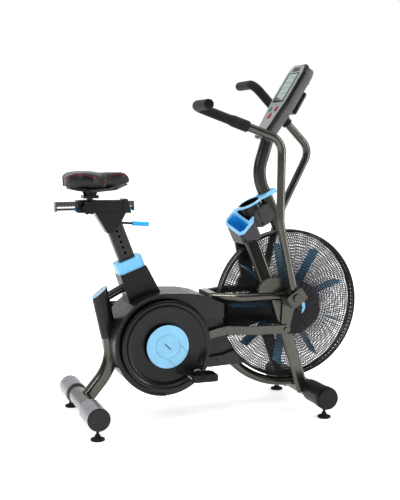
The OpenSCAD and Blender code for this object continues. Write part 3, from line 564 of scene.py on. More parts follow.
sleeve_dark = plastic("sleeve_dark", srgb(46, 46, 48), rough=0.32, zones=SLEEVE_ENDS)
holder_blue = plastic(
    "holder_blue", AZURE, rough=0.36, coat=0.2, grain=700.0, zones=((rim_zone, SKY),), spread=0.05
)
holder_grey = plastic("holder_grey", srgb(80, 80, 82), rough=0.40, zones=((casing_zone, srgb(82, 78, 86)),))
collar_blue = plastic("collar_blue", srgb(134, 198, 232), rough=0.34, coat=0.25)
hub_plastic = plastic("hub_plastic", srgb(36, 34, 38), rough=0.5, zones=((hub_zone, SKY),))
lever_blue = plastic("lever_blue", BLACK, rough=0.35, coat=0.2, zones=((lever_grip_zone, AZURE),))
carriage_metal = painted("carriage_metal", srgb(52, 52, 49), rough=0.4, zones=((bush_zone, AZURE, 0.35),))
blade_paint = painted("blade_paint", srgb(56, 172, 218), rough=0.36, metallic=0.15, fleck=0.08)
cast_black = painted("cast_black", srgb(30, 30, 31), rough=0.55, metallic=0.2, fleck=0.1)
red_key = plastic("red_key", srgb(176, 34, 34), rough=0.5)
green_key = plastic("green_key", srgb(36, 150, 84), rough=0.5)
rail_metal = painted("rail_metal", srgb(96, 97, 98), rough=0.33, metallic=0.8)
console_grey = plastic("console_grey", srgb(176, 178, 180))


def wear(material, single, paired=()):
    """Gives CAD nodes a material; each paired name has a right and a left node."""
    for name in [*single, *(f"{part}_{side}" for part in paired for side in SIDES)]:
        mesh = NODES[name].data
        mesh.materials.clear()
        mesh.materials.append(material)


wear(
    frame_paint,
    ("rear_stabilizer", "front_stabilizer", "rear_leg", "main_frame", "hoop_tube"),
    ("side_arm", "upright", "arm", "link"),
)
wear(frame_dark, ("mast", "seat_post"))
wear(sleeve_light, ("rear_caps",))
wear(sleeve_dark, ("front_caps",))
wear(leg_cover, ("rear_leg_cover",))
wear(leg_metal, (), ("front_leg",))
wear(plum_plastic, (), ("shell",))
wear(black_metal, ("shell_screws", "fan_axle", "saddle_clamp", "cage_band"), ("cage",))
wear(
    black_plastic,
    ("belt_guard", "seat_shroud", "cup_liner", "clamp_knob", "saddle_base", "console_body"),
    ("crank", "pedal"),
)
wear(rubber, ("belt", "saddle"), ("foot_rear", "foot_front", "grips"))
wear(collar_blue, ("seat_collar",))
wear(holder_blue, ("holder_trim",))
wear(holder_grey, ("holder_body",))
wear(hub_plastic, ("hub_covers",))
wear(cast_black, ("fan_hub",))
wear(blade_paint, ("fan_blades",))
wear(bare_steel, ("crank_spindle",))
wear(carriage_metal, ("seat_carriage",))
wear(rail_metal, ("seat_rail",))
wear(lever_blue, ("height_lever",))
wear(red_key, ("key_start", "key_reset"))
wear(green_key, ("key_mode",))
wear(console_grey, ("console_face",))


# ---------------------------------------------------------------- cage

cage_wire = painted("cage_wire", srgb(24, 24, 25), rough=0.38, metallic=0.2, fleck=0.05, edge=0.0004)
CAGE_WIRES = 200
# one wire as (radius, distance from the middle plane)
CAGE_RIB = (
    (0.0965, 0.0890), (0.120, 0.0844), (0.150, 0.0785), (0.175, 0.0711), (0.200, 0.0635), (0.225, 0.0563),
    (0.245, 0.0505), (0.261, 0.0425), (0.274, 0.0355), (0.280, 0.0280), (0.2838, 0.0200),
)
CAGE_RINGS = (0.0965, *(0.107 + 0.011 * k for k in range(13)), 0.249, 0.259, 0.268, 0.276, 0.2825)


def cage_side(side, sign):
    """Fine wires over thin rings; the first and last rings are thick."""
    parts = []
    for k in range(CAGE_WIRES):
        a = 2 * math.pi * (k + 0.5) / CAGE_WIRES
        line = [FAN + Vector((r * math.cos(a), sign * y, r * math.sin(a))) for r, y in CAGE_RIB]
        parts.append(tube(line, 0.00115, 5))
    for r in CAGE_RINGS:
        thick = 0.0024 if r in (CAGE_RINGS[0], CAGE_RINGS[-1]) else 0.0012
        loop = circle(FAN, r, sign * (follow(CAGE_RIB, r) - 0.0016), 128)
        parts.append(tube(loop, thick, 5, closed=True))
    node = "cage_" + side
    make("cage_wires_" + side, join(*parts), cage_wire, "frame", smooth=60, replaces=(node,), slot=node)


def cage_rim():
    """Rolled edge band with two rows of small pressed slots."""
    steps = 240
    rows = (-0.022, -0.0195, -0.012, -0.004, 0.004, 0.012, 0.0195, 0.022)
    slotted = (2, 4)
    verts, faces = [], []
    for i in range(steps):
        a = 2 * math.pi * i / steps
        for y in rows:
            r = 0.2880 if abs(y) < 0.021 else 0.2886
            verts.append(FAN + Vector((r * math.cos(a), y, r * math.sin(a))))
    n = len(rows)
    for i in range(steps):
        j = (i + 1) % steps
        for k in range(n - 1):
            if not (k in slotted and i % 2):
                faces.append((i * n + k, j * n + k, j * n + k + 1, i * n + k + 1))
    rim = make("cage_rim", (verts, faces), cage_wire, "frame", replaces=("cage_band",), slot="cage_band")
    solid = rim.modifiers.new("thick", "SOLIDIFY")
    solid.thickness = 0.0022
    solid.offset = 0.0
    for sign, tag in ((-1, "r"), (1, "l")):
        roll = tube(circle(FAN, 0.2868, sign * 0.0205, 160), 0.0030, 8, closed=True)
        make("cage_rim_roll_" + tag, roll, cage_wire, "frame", smooth=60)


cage_side("right", -1)
cage_side("left", 1)
cage_rim()


# ---------------------------------------------------------------- crank discs


def disc_plastic(name, colour, rough, coat, pitch, depth):
    """Plastic with fine turned rings about the crank axle."""
    m = Mat(name)
    edge_wear_and_highlight = m.rounded(0.0012)
    base = toned(m, colour, 0.07, 10.0)
    # painted highlight: edges lightened in colour
    base = m.mix(m.math("MULTIPLY", edge_wear_and_highlight, 0.3), base, [min(1.0, c * 1.5 + 0.05) for c in colour])
    from_axle = m.vec("LENGTH", m.vec("MULTIPLY", m.vec("SUBTRACT", m.place, tuple(CRANK)), (1, 0, 1)))
    m.bump(m.math("SINE", m.math("MULTIPLY", from_axle, 2 * math.pi / pitch)), depth, 0.0002)
    m.bump(m.noise(1200.0, 2.0, 0.5), 0.08, 0.0002)
    rough_map = m.fit(m.noise(16.0, 6.0, 0.65), 0.3, 0.7, rough - 0.05, rough + 0.08)
    return m.done(Base_Color=base, Roughness=rough_map, Coat_Weight=coat, Coat_Roughness=0.1)


disc_black = disc_plastic("disc_black", srgb(16, 15, 18), 0.30, 0.3, 0.0016, 0.12)
disc_blue = disc_plastic("disc_blue", srgb(150, 200, 226), 0.45, 0.05, 0.0012, 0.04)
disc_dark = disc_plastic("disc_dark", srgb(20, 19, 23), 0.40, 0.1, 0.0014, 0.05)

# profiles are (radius, distance out from the middle plane)
CRANK_BORE = 0.0095
CRANK_FACE = 0.1165
CRANK_DISC = (
    (CRANK_BORE, 0.112), (0.163, 0.112), (0.1665, 0.1135), (0.168, 0.117), (0.168, 0.1275), (0.1665, 0.1308),
    (0.1635, 0.132), (0.157, 0.132), (0.1545, 0.1312), (0.151, 0.1275), (0.1485, 0.1262), (0.1465, 0.1225),
    (0.1445, 0.1212), (0.139, 0.1195), (0.136, 0.1176), (0.133, 0.1171), (CRANK_BORE, 0.1171),
)
CRANK_SPACER = ((CRANK_BORE, CRANK_FACE), (0.070, CRANK_FACE), (0.070, 0.1338), (CRANK_BORE, 0.1338))
CRANK_CAP = (
    (0.0, 0.1338), (0.0790, 0.1338), (0.0800, 0.1346), (0.0800, 0.1372), (0.0793, 0.1384), (0.0780, 0.1389),
    (0.0462, 0.1389), (0.0456, 0.1384), (0.0452, 0.1374), (0.0442, 0.1374), (0.0438, 0.1386), (0.0431, 0.1391),
    (0.0, 0.1391),
)
CRANK_PIN = ((0.0, 0.105), (0.0052, 0.105), (0.0060, 0.1058), (0.0060, 0.112), (0.0, 0.112))
PEDAL_AXLE = (
    (0.0, 0.1325), (0.0150, 0.1325), (0.0160, 0.1335), (0.0160, 0.1400), (0.0148, 0.1412), (0.0120, 0.1412),
    (0.0115, 0.1425), (0.0060, 0.1425), (0.0060, 0.2355), (0.0050, 0.2360), (0.0, 0.2360),
)
CAP_FACE = 0.1387
BAND_HALF = 0.0335
ARM_DEG = 43.0
PEDAL_AT = Vector(JOINT["right_pedal_spin"]["pos_m"])
ARM_LEN = math.hypot(PEDAL_AT.x - CRANK.x, PEDAL_AT.z - CRANK.z)


def crank_side(side, place):
    """place maps (along the arm, outward, up) about the crank axle."""
    node = "crank_" + side
    add = maker(side, "crankset", node)
    axle, arm_end = outward(place), place @ at(ARM_LEN, 0, 0)
    add("crank_disc", lathe(CRANK_DISC, axle, 160, closed=True), disc_black, smooth=40, replaces=(node,))
    band = arc(0, 0, 0.0345, 90, 270, 28) + arc(ARM_LEN - 0.020, 0, 0.0330, -90, 90, 28)
    add("crank_band", prism(band, CRANK_FACE, 0.1332, place), disc_dark, bevel=0.0014, segments=3)
    add("crank_spacer", lathe(CRANK_SPACER, axle, closed=True), disc_dark)
    add("crank_cap", lathe(CRANK_CAP, axle, 128), disc_blue, smooth=25)
    # a raised band across the cap between two grooves, each drawn as a thin dark strip of painted shade, and a plain
    # bar on the centre button
    inner, outer = 0.0466, 0.0788
    a0, a1 = (math.degrees(math.asin(BAND_HALF / r)) for r in (inner, outer))
    raised = arc(0, 0, inner, a0, -a0, 16) + arc(0, 0, outer, -a1, a1, 20)
    add("crank_cap_band", prism(raised, CAP_FACE, 0.1394, place), disc_blue, bevel=0.0004)
    for tag, s in (("a", 1), ("b", -1)):
        z0, z1 = s * (BAND_HALF + 0.0002), s * (BAND_HALF + 0.0011)
        # painted shade: a dark strip on the cap face where the groove's shadow would be
        groove = [(0.0345, z0), (0.0716, z0), (0.0716, z1), (0.0345, z1)]
        add("crank_groove_" + tag, prism(groove, CAP_FACE, 0.13905, place), disc_dark)
    bar = [(-0.0155, -0.0016), (0.0155, -0.0016), (0.0165, 0), (0.0155, 0.0016), (-0.0155, 0.0016), (-0.0165, 0)]
    add("crank_button_bar", prism(bar, 0.1389, 0.1397, place), disc_dark, bevel=0.0003)
    add("pedal_axle", lathe(PEDAL_AXLE, outward(arm_end), 40), bare_steel)
    hexagon = arc(0, 0, 0.0095, 0, 300, 5)
    add("pedal_axle_flats", prism(hexagon, 0.1425, 0.1490, arm_end), bare_steel, bevel=0.0006)
    pin_place = place @ turn_y(20 - ARM_DEG) @ at(0.029, 0, 0)
    add("crank_pin", lathe(CRANK_PIN, outward(pin_place), 32), bare_steel)


crank_side("right", at(*CRANK) @ MIRROR_Y @ turn_y(ARM_DEG))
crank_side("left", at(*CRANK) @ turn_y(180) @ turn_y(ARM_DEG))


# ---------------------------------------------------------------- pedals


def reflector_material():
    m = Mat("reflector")
    facet = m.cells(260.0, feature="F1")
    base = m.mix(m.fit(facet, 0.0, 0.6, 0.0, 1.0), srgb(236, 236, 232), srgb(168, 168, 164))
    m.bump(facet, 0.5, 0.0006)
    rough_map = m.fit(facet, 0.0, 0.7, 0.12, 0.3)
    return m.done(Base_Color=base, Roughness=rough_map, Coat_Weight=0.5, Coat_Roughness=0.05)


pedal_black = plastic("pedal_black", srgb(28, 28, 29), rough=0.5, grain=600.0, depth=0.25, edge=0.0008)
reflector = reflector_material()

PEDAL_BARREL = (
    (0.0062, 0.150), (0.0110, 0.150), (0.0120, 0.152), (0.0120, 0.170), (0.0105, 0.178), (0.0105, 0.212),
    (0.0120, 0.220), (0.0120, 0.2325), (0.0105, 0.234), (0.0062, 0.234),
)
PEDAL_DUST_CAP = (
    (0.0, 0.2335), (0.0095, 0.2335), (0.0100, 0.2345), (0.0100, 0.2362), (0.0085, 0.2372), (0.0, 0.2372)
)
OUTER_BAR = (0.0425, 0.0470)
INNER_BAR = (0.0247, 0.0283)


def pedal(side, centre, place):
    """place puts local Y outward; the pedal is the same fore and aft."""
    node, body = "pedal_" + side, "pedal_" + side[0]
    add = maker(side, body, node)
    place = at(centre[0], 0, centre[2]) @ place

    def bar(s, reach, y, length, half):
        """On side s of the barrel, between two distances from it, half above and below."""
        low, high = sorted((s * reach[0], s * reach[1]))
        return block((low, y, -half), (high, y + length, half), place)

    add("pedal_barrel", lathe(PEDAL_BARREL, outward(place), 36, closed=True), pedal_black, replaces=(node,))
    plate = chamfered(0.047, 0.013, 0.008)
    parts = [prism(plate, y, y + 0.0045, place) for y in (0.158, 0.2275)]
    for s in (-1, 1):
        parts += [bar(s, OUTER_BAR, 0.160, 0.070, 0.0105), bar(s, INNER_BAR, 0.161, 0.068, 0.0125)]
        for k in range(6):
            tooth = 0.164 + 0.0122 * k
            parts += [bar(s, OUTER_BAR, tooth, 0.0048, 0.0130), bar(s, INNER_BAR, tooth, 0.0036, 0.0130)]
        parts += [bar(s, (0.0100, 0.0430), y, 0.003, 0.0045) for y in (0.178, 0.1935, 0.209)]
    add("pedal_cage", join(*parts), pedal_black, bevel=0.0006)
    for s, tag in ((-1, "b"), (1, "f")):
        shape = bar(s, (0.0468, 0.0483), 0.170, 0.046, 0.0040)
        make(f"pedal_reflector_{side}_{tag}", shape, reflector, body, bevel=0.0004, slot=node)
    add("pedal_dust_cap", lathe(PEDAL_DUST_CAP, outward(place), 28), pedal_black)


pedal("right", JOINT["right_pedal_spin"]["pos_m"], MIRROR_Y)
pedal("left", JOINT["left_pedal_spin"]["pos_m"], Matrix.Identity(4))


# ---------------------------------------------------------------- hand grips

foam = rubbery("foam", srgb(30, 30, 31), rough=0.85, scale=1500.0, depth=0.55, sheen=0.15)

FOAM_R = 0.0180
CUFF_R = 0.0210
HAND_BEND_R = 0.038
STUB_LENGTH = 0.111
STUB_CAP = (
    (0.0, 0.1148), (0.0150, 0.1148), (0.0150, 0.1152), (0.0166, 0.1154), (0.0170, 0.1162), (0.0170, 0.1178),
    (0.0160, 0.1188), (0.0120, 0.1190), (0.0, 0.1190),
)
STUB_COLLAR = ((0.0158, 0.1108), (0.0166, 0.1112), (0.0166, 0.1150), (0.0158, 0.1150))


def turtle(matrix, radius, deg):
    """Moves a frame round a bend that turns towards local +x."""
    a = math.radians(abs(deg))
    s = 1 if deg > 0 else -1
    return matrix @ at(s * radius * (1 - math.cos(a)), 0, radius * math.sin(a)) @ turn_y(deg)


def grip_frames(side):
    """Frames at the start of the long straight, at its end and after the hand bend."""
    if side == "right":
        start = at(*PIVOT)
    else:
        start = at(PIVOT.x, -PIVOT.y, PIVOT.z) @ turn_y(SWING) @ MIRROR_Y
    m = start @ at(-0.004, 0, 0.030) @ turn_y(-12.6) @ at(0, 0, 0.239)
    m = turtle(m, 0.150, 13.35) @ at(0, 0, 0.242)
    m = turtle(m, 0.065, -71.15)
    end = m @ at(0, 0, 0.275) @ Matrix.Rotation(math.radians(-90), 4, "Z")
    return m, end, turtle(end, HAND_BEND_R, 90)


def grip(side):
    """One foam sleeve: thick cuff, long straight, round the bend and along the hand stub."""
    upper, end, stub = grip_frames(side)
    node = "grips_" + side
    add = maker(side, "arm_" + side[0], node)
    wave = random.Random(3 if side == "right" else 4)
    line, radii = [], []

    def step(matrix, x, z, r, rough=0.00022):
        line.append(matrix @ Vector((x, 0, z)))
        radii.append(r - rough * wave.random())

    for z, r in ((0.0960, 0.0160), (0.0962, 0.0190), (0.0972, 0.0205), (0.0995, CUFF_R)):
        step(upper, 0, z, r, 0)
    for k in range(1, 10):
        step(upper, 0, 0.0995 + 0.0062 * k, CUFF_R)
    for z, r in ((0.1590, 0.0207), (0.1640, 0.0196), (0.1690, 0.0186), (0.1730, 0.0181)):
        step(upper, 0, z, r, 0)
    for k in range(1, 15):
        step(upper, 0, 0.1730 + 0.0072 * k, FOAM_R)
    for k in range(1, 12):
        a = math.radians(90 * k / 12)
        step(end, HAND_BEND_R * (1 - math.cos(a)), HAND_BEND_R * math.sin(a), FOAM_R)
    for k in range(16):
        step(stub, 0, 0.0020 + (STUB_LENGTH - 0.005) * k / 15, FOAM_R)
    for back, r in ((0.0012, 0.0177), (0.0002, 0.0168), (0.0, 0.0158)):
        step(stub, 0, STUB_LENGTH - back, r, 0)
    sleeve = add("foam_sleeve", tube(line, radii, 44), foam, smooth=70, replaces=(node,))
    add("stub_cap", lathe(STUB_CAP, stub, 48), black_plastic)
    add("stub_collar", lathe(STUB_COLLAR, stub, 48, closed=True), frame_dark)


grip("right")
grip("left")


# ---------------------------------------------------------------- console


def lcd_material():
    """Grey-green display with faint dark segment bars."""
    m = Mat("lcd")
    rel = m.vec("SUBTRACT", m.place, tuple(CONSOLE.translation))
    up = m.vec("DOT_PRODUCT", rel, tuple(z_axis(CONSOLE)))
    across = m.vec("DOT_PRODUCT", rel, Y)
    row = m.math("FRACT", m.math("DIVIDE", up, 0.0235))
    column = m.math("FRACT", m.math("DIVIDE", m.math("ADD", across, 0.1), 0.0128))

    def near(value, middle, width):
        return m.math("LESS_THAN", m.math("ABSOLUTE", m.math("SUBTRACT", value, middle)), width)

    def between(value, low, high):
        return m.both(m.math("GREATER_THAN", value, low), m.math("LESS_THAN", value, high))

    strokes = m.math("MAXIMUM", near(column, 0.25, 0.07), near(column, 0.70, 0.07))
    cross = m.both(near(row, 0.55, 0.05), between(column, 0.25, 0.70))
    ink = m.both(m.math("MAXIMUM", strokes, cross), between(row, 0.30, 0.80))
    ink = m.both(ink, near(across, 0.0, 0.034))
    base = m.mix(m.noise(30.0, 3.0), srgb(126, 150, 132), srgb(142, 166, 146))
    base = m.mix(m.math("MULTIPLY", ink, 0.75), base, srgb(36, 50, 44))
    rough_map = m.fit(m.noise(12.0, 3.0), 0.3, 0.7, 0.10, 0.20)
    return m.done(Base_Color=base, Roughness=rough_map, Coat_Weight=0.8, Coat_Roughness=0.04)


console_face_grey = plastic("console_face_grey", srgb(150, 153, 155), rough=0.42, grain=1100.0)
console_case_grey = plastic("console_case_grey", srgb(104, 104, 102), rough=0.45, grain=900.0)
console_black = plastic("console_black", srgb(24, 24, 26), rough=0.35, coat=0.2)

# console outlines are (across, up); depth runs back from the face
CONSOLE_LOW, CONSOLE_HIGH = -0.042, 0.285
# (across, up, radius) of the three keys
KEY_PLACES = ((0.0, 0.052, 0.0135), (0.026, 0.082, 0.0113), (-0.026, 0.082, 0.0113))
CONSOLE_SCREW = ((0.0, -0.0006), (0.0034, -0.0006), (0.0036, 0.0008), (0.0030, 0.0014), (0.0, 0.0014))


def console_plan(g, soft=0.010):
    """The console's outline shrunk by g, with rounded corners."""
    half = (
        (0.042 - g, CONSOLE_LOW + g), (0.058 - g, 0.040), (0.074 - g, 0.120), (0.074 - g, 0.250),
        (0.060 - g, CONSOLE_HIGH - g),
    )
    corners = [(-half[0][0], half[0][1]), *half, *((-y, z) for y, z in half[:0:-1])]
    out = []
    for i, corner in enumerate(corners):
        c = Vector(corner)
        a = (Vector(corners[i - 1]) - c).normalized() * soft
        b = (Vector(corners[(i + 1) % len(corners)]) - c).normalized() * soft
        for t in (k / 6 for k in range(7)):
            out.append((c + a) * (1 - t) ** 2 + c * 2 * t * (1 - t) + (c + b) * t * t)
    return out


def console_ring(g, depth):
    return [(depth, p.x, p.y) for p in console_plan(g)]


def console_part(name, shape, material, node, **extra):
    make("console_" + name, shape, material, "frame", slot=node, **extra)


def console_case():
    """Edge ring, rounded back and battery box."""
    node = "console_body"
    edge = ((0.0035, 0.0030), (0.0010, 0.0040), (0.0, 0.0060), (0.0, 0.0155), (0.0010, 0.0175), (0.0030, 0.0180))
    back = ((0.0045, 0.0178), (0.0040, 0.0195), (0.0042, 0.0400), (0.0060, 0.0455), (0.0095, 0.0490), (0.0160, 0.0500))
    edge_shape, back_shape = (loft([console_ring(g, depth) for g, depth in rings], CONSOLE) for rings in (edge, back))
    console_part("edge", edge_shape, console_black, node, smooth=40, replaces=(node,))
    console_part("case", back_shape, console_case_grey, node, smooth=40)
    # battery box: a tapered block on the back, its last ring drawn in about its middle
    middle = 0.1475
    plan = ((-0.050, 0.100), (0.050, 0.100), (0.044, 0.195), (-0.044, 0.195))
    rings = [
        [(depth, y * (1 - g), middle + (z - middle) * (1 - g)) for y, z in plan]
        for depth, g in ((0.0495, 0.0), (0.070, 0.0), (0.076, 0.14))
    ]
    console_part("battery_box", loft(rings, CONSOLE), console_black, node, bevel=0.003, segments=3)


def console_front():
    """Face plate, bezel round the display, badge bar and a ring round each key."""
    node = "console_face"
    outer = [(p.x, p.y) for p in console_plan(0.0065)]
    centre = 0.1215
    rings = [[(depth, y, z) for y, z in outer] for depth in (0.0034, 0.0012)]
    rings.append([(0.0, y * 0.988, centre + (z - centre) * 0.992) for y, z in outer])
    console_part("face_plate", loft(rings, CONSOLE), console_face_grey, node, smooth=40, replaces=(node,))
    frame_out = ((-0.0475, 0.1135), (0.0475, 0.1135), (0.0475, 0.2455), (-0.0475, 0.2455))
    frame_in = ((-0.0405, 0.1215), (0.0405, 0.1215), (0.0405, 0.2415), (-0.0405, 0.2415))
    layers = ((0.0002, frame_out), (-0.0012, frame_out), (-0.0012, frame_in), (-0.0004, frame_in))
    verts = [CONSOLE @ Vector((depth, y, z)) for depth, points in layers for y, z in points]
    console_part("bezel", (verts, strip(len(layers), 4)), console_black, node, bevel=0.0004)
    glass = block((-0.0006, -0.0407, 0.1213), (0.0010, 0.0407, 0.2417), CONSOLE)
    console_part("display", glass, lcd_material(), node)
    badge = block((-0.0010, -0.0280, 0.2530), (0.0008, 0.0280, 0.2690), CONSOLE)
    console_part("badge", badge, console_black, node, bevel=0.0008)
    for k, (y, z, r) in enumerate(KEY_PLACES):
        ring = ((r - 0.0017, -0.0002), (r - 0.0014, -0.0008), (r - 0.0004, -0.0009), (r, -0.0002))
        console_part(f"key_ring_{k}", lathe(ring, CONSOLE @ at(0, y, z) @ turn_y(90), 40), console_black, node)


def console_screws():
    """Two screws down each side of the back."""
    for tag, s in (("r", -1), ("l", 1)):
        for z in (0.075, 0.225):
            place = CONSOLE @ at(0.050, s * 0.062, z) @ turn_y(90)
            shape = lathe(CONSOLE_SCREW, place, 20)
            console_part(f"screw_{tag}_{round(z * 1000)}", shape, bare_steel, "console_body")


console_case()
console_front()
console_screws()


# ---------------------------------------------------------------- saddle

SADDLE_REAR, SADDLE_NOSE = -0.5660, -0.3245
# each line is (x, measure): half width, then heights of the crest, the hem and the piping seam
SADDLE_HALF_WIDTH = (
    (SADDLE_REAR, 0.006), (-0.564, 0.036), (-0.556, 0.060), (-0.541, 0.082), (-0.520, 0.095), (-0.498, 0.0985),
    (-0.476, 0.0955), (-0.460, 0.087), (-0.446, 0.072), (-0.434, 0.058), (-0.420, 0.047), (-0.400, 0.041),
    (-0.380, 0.038), (-0.360, 0.034), (-0.345, 0.028), (-0.333, 0.020), (-0.3265, 0.010), (SADDLE_NOSE, 0.003),
)
SADDLE_TOP = (
    (SADDLE_REAR, 0.906), (-0.559, 0.918), (-0.540, 0.9270), (-0.505, 0.9312), (-0.470, 0.9305), (-0.440, 0.9272),
    (-0.420, 0.9256), (-0.390, 0.9262), (-0.360, 0.9262), (-0.342, 0.9215), (-0.3285, 0.908), (SADDLE_NOSE, 0.900),
)
SADDLE_HEM = (
    (SADDLE_REAR, 0.8770), (-0.530, 0.8725), (-0.480, 0.8680), (-0.430, 0.8660), (-0.380, 0.8760),
    (-0.340, 0.8850), (SADDLE_NOSE, 0.890),
)
SADDLE_SEAM = (
    (SADDLE_REAR, 0.904), (-0.557, 0.914), (-0.538, 0.9195), (-0.508, 0.9180), (-0.482, 0.9120), (-0.464, 0.9040),
    (-0.450, 0.8900), (-0.439, 0.8770), (-0.431, 0.8745), (-0.424, 0.8800), (-0.417, 0.8960), (-0.408, 0.9120),
    (-0.385, 0.9180), (-0.352, 0.9185), (-0.336, 0.9100), (SADDLE_NOSE, 0.8940),
)


def saddle_point(x, u):
    """u runs 0 at the crest, 1 at the piping, 2 at the lower hem."""
    w, top = follow(SADDLE_HALF_WIDTH, x), follow(SADDLE_TOP, x)
    seam, low = follow(SADDLE_SEAM, x, ease=True), follow(SADDLE_HEM, x)
    if u <= 1.0:
        a = u * math.pi / 2
        y = w * (math.sin(a) ** 0.86)
        z = seam + (top - seam) * (math.cos(a) ** 0.62)
        groove = 0.0035 * math.exp(-((y / 0.013) ** 2)) * max(0.0, min(1.0, (w - 0.030) / 0.03))
        return y, z - groove
    t = u - 1.0
    swell = 0.035 * math.sin(math.pi * min(1.0, t * 1.3)) * min(1.0, w / 0.05)
    return w * (1.0 + swell - 0.16 * t ** 3), seam + (low - seam) * t


def saddle_mesh(xs, rows, whole):
    """Rows of u on both sides; whole joins them over the crest, else they close below."""
    line = [-u for u in reversed(rows[1:] if whole else rows)] + rows
    n = len(line)
    verts = []
    for x in xs:
        for u in line:
            y, z = saddle_point(x, abs(u))
            wrinkle = 0.0005 * noise.noise(Vector((x * 60, y * 40 * (1 if u > 0 else -1), 3.0)))
            verts.append((x, math.copysign(y, u if u else 1), z + wrinkle))
    faces = []
    for i in range(len(xs) - 1):
        for k in range(n - 1):
            if whole or k != len(rows) - 1:
                faces.append((i * n + k, i * n + k + 1, (i + 1) * n + k + 1, (i + 1) * n + k))
        if not whole:
            faces.append((i * n, (i + 1) * n, (i + 2) * n - 1, (i + 1) * n - 1))
    return verts, faces


def stitch(x, u, s):
    """A short thread that lies on the leather of side s."""
    ends = []
    for x_end in (x, x + 0.0022):
        y, z = saddle_point(x_end, u)
        ends.append((x_end, s * y * 1.0008, z + 0.0002))
    return tube(ends, 0.00045, 5)


def saddle():
    # painted highlight and shade: the top cover is a lighter copy of the skirt's leather, lit on top and shaded on the
    # sides
    lit_top_leather = leather("saddle_leather_lit", srgb(38, 39, 37), rough=0.27)
    shaded_side_leather = leather("saddle_side_shaded", srgb(24, 25, 23), rough=0.30)
    piping = rubbery("saddle_piping", srgb(120, 22, 28), rough=0.42, scale=1600.0, depth=0.15, sheen=0.0)
    length = SADDLE_NOSE - SADDLE_REAR
    xs = [SADDLE_REAR + length * (0.5 - 0.5 * math.cos(math.pi * i / 72)) for i in range(73)]
    cover = saddle_mesh(xs, [k / 16 for k in range(17)], whole=True)
    skirt = saddle_mesh(xs, [1.0 + k / 6 for k in range(7)], whole=False)
    for name, shape, material, replaced in (
        ("saddle_cover", cover, lit_top_leather, ("saddle",)),
        ("saddle_skirt", skirt, shaded_side_leather, ()),
    ):
        obj = make(name, shape, material, "seat", smooth=65, replaces=replaced, slot="saddle")
    for s, tag in ((1, "l"), (-1, "r")):
        line = []
        for x in xs:
            y, z = saddle_point(x, 1.0)
            line.append((x, s * (y - 0.0006), z))
        make("saddle_piping_" + tag, tube(line, 0.0014), piping, "seat", smooth=70, slot="saddle")
        for row, u in (("a", 0.90), ("b", 1.12)):
            stitches = [stitch(-0.559 + 0.227 * i / 60, u, s) for i in range(60)]
            make(f"saddle_stitch_{row}_{tag}", join(*stitches), shaded_side_leather, "seat", slot="saddle")


saddle()


# ---------------------------------------------------------------- floor, light, camera

WHITE = (1.0, 1.0, 1.0)
FLOOR_HALF = 80
CAMERA_PLACE = (-1.217, -3.443, 1.021)
CAMERA_YAW, CAMERA_PITCH = 0.3272, 0.1077
LENS = 69.3936
# what polished parts reflect: (place between the dark and the bright side, brightness)
WORLD_RAMP = ((0.0, 0.07), (0.34, 0.14), (0.52, 0.42), (0.66, 1.0), (1.0, 1.0))


def add_floor():
    mesh = bpy.data.meshes.new("floor")
    corners = [(sx * FLOOR_HALF, sy * FLOOR_HALF, 0) for sx, sy in ((-1, -1), (1, -1), (1, 1), (-1, 1))]
    mesh.from_pydata(corners, [], [(0, 1, 2, 3)])
    plane = bpy.data.objects.new("floor", mesh)
    bpy.context.scene.collection.objects.link(plane)
    m = Mat("floor_white")
    tone = m.mix(m.noise(1.4, 3.0), (0.96, 0.96, 0.96), (0.98, 0.98, 0.98))
    mesh.materials.append(m.done(Base_Color=tone, Roughness=0.75, Emission_Color=WHITE, Emission_Strength=0.45))


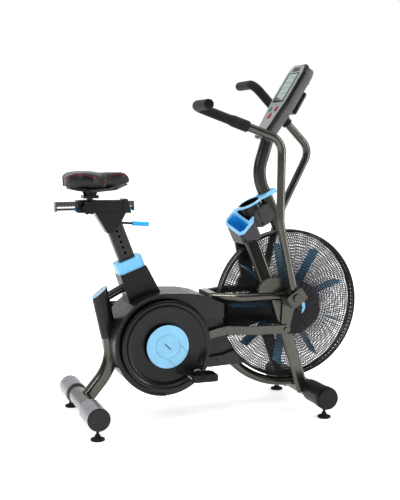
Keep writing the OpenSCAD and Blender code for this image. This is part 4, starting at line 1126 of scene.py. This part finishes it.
def add_world():
    """White to the camera; to reflections, dark on one side and bright on the other."""
    world = bpy.data.worlds.new("studio")
    bpy.context.scene.world = world
    world.use_nodes = True
    nodes, link = world.node_tree.nodes, world.node_tree.links.new
    back = nodes["Background"]
    back.inputs["Strength"].default_value = 1.0
    direction = nodes.new("ShaderNodeTexCoord")
    lean = nodes.new("ShaderNodeVectorMath")
    lean.operation = "DOT_PRODUCT"
    lean.inputs[1].default_value = (0.16, 0.46, 0.50)
    shift = nodes.new("ShaderNodeMath")
    shift.operation = "ADD"
    shift.inputs[1].default_value = 0.42
    grade = nodes.new("ShaderNodeValToRGB")
    stops = grade.color_ramp.elements
    for position, value in WORLD_RAMP:
        stop = stops[0] if position == 0.0 else stops[-1] if position == 1.0 else stops.new(position)
        stop.color = (value, value, value * 1.02, 1.0)
    pick = nodes.new("ShaderNodeMix")
    pick.data_type = "RGBA"
    pick.inputs[7].default_value = (*WHITE, 1.0)
    link(direction.outputs["Generated"], lean.inputs[0])
    link(lean.outputs["Value"], shift.inputs[0])
    link(shift.outputs[0], grade.inputs["Fac"])
    link(nodes.new("ShaderNodeLightPath").outputs["Is Camera Ray"], pick.inputs["Factor"])
    link(grade.outputs["Color"], pick.inputs[6])
    link(pick.outputs[2], back.inputs["Color"])


def softbox(name, where, towards, size, power):
    data = bpy.data.lights.new(name, "AREA")
    data.shape = "RECTANGLE"
    data.size, data.size_y = size
    data.energy = power
    lamp = bpy.data.objects.new(name, data)
    lamp.location = where
    lamp.rotation_euler = (Vector(towards) - Vector(where)).to_track_quat("-Z", "Y").to_euler()
    bpy.context.scene.collection.objects.link(lamp)


def add_camera():
    data = bpy.data.cameras.new("camera")
    camera = bpy.data.objects.new("camera", data)
    bpy.context.scene.collection.objects.link(camera)
    bpy.context.scene.camera = camera
    data.sensor_width = 36.0
    data.lens = LENS
    data.clip_start, data.clip_end = 0.05, 60.0
    level = math.cos(CAMERA_PITCH)
    forward = Vector((math.sin(CAMERA_YAW) * level, math.cos(CAMERA_YAW) * level, -math.sin(CAMERA_PITCH)))
    camera.location = CAMERA_PLACE
    camera.rotation_mode = "QUATERNION"
    camera.rotation_quaternion = forward.to_track_quat("-Z", "Y")


add_floor()
add_world()
softbox("key", (-2.4, -2.2, 2.6), (0, 0, 0.6), (0.7, 2.2), 52)
softbox("fill", (2.8, -1.6, 1.5), (0, 0, 0.6), (0.5, 2.4), 40)
softbox("top", (0.2, -0.4, 3.4), (0, 0, 0.5), (2.6, 2.2), 30)
add_camera()
bpy.context.scene.view_settings.view_transform = "Standard"
bpy.context.scene.view_settings.gamma = 0.76
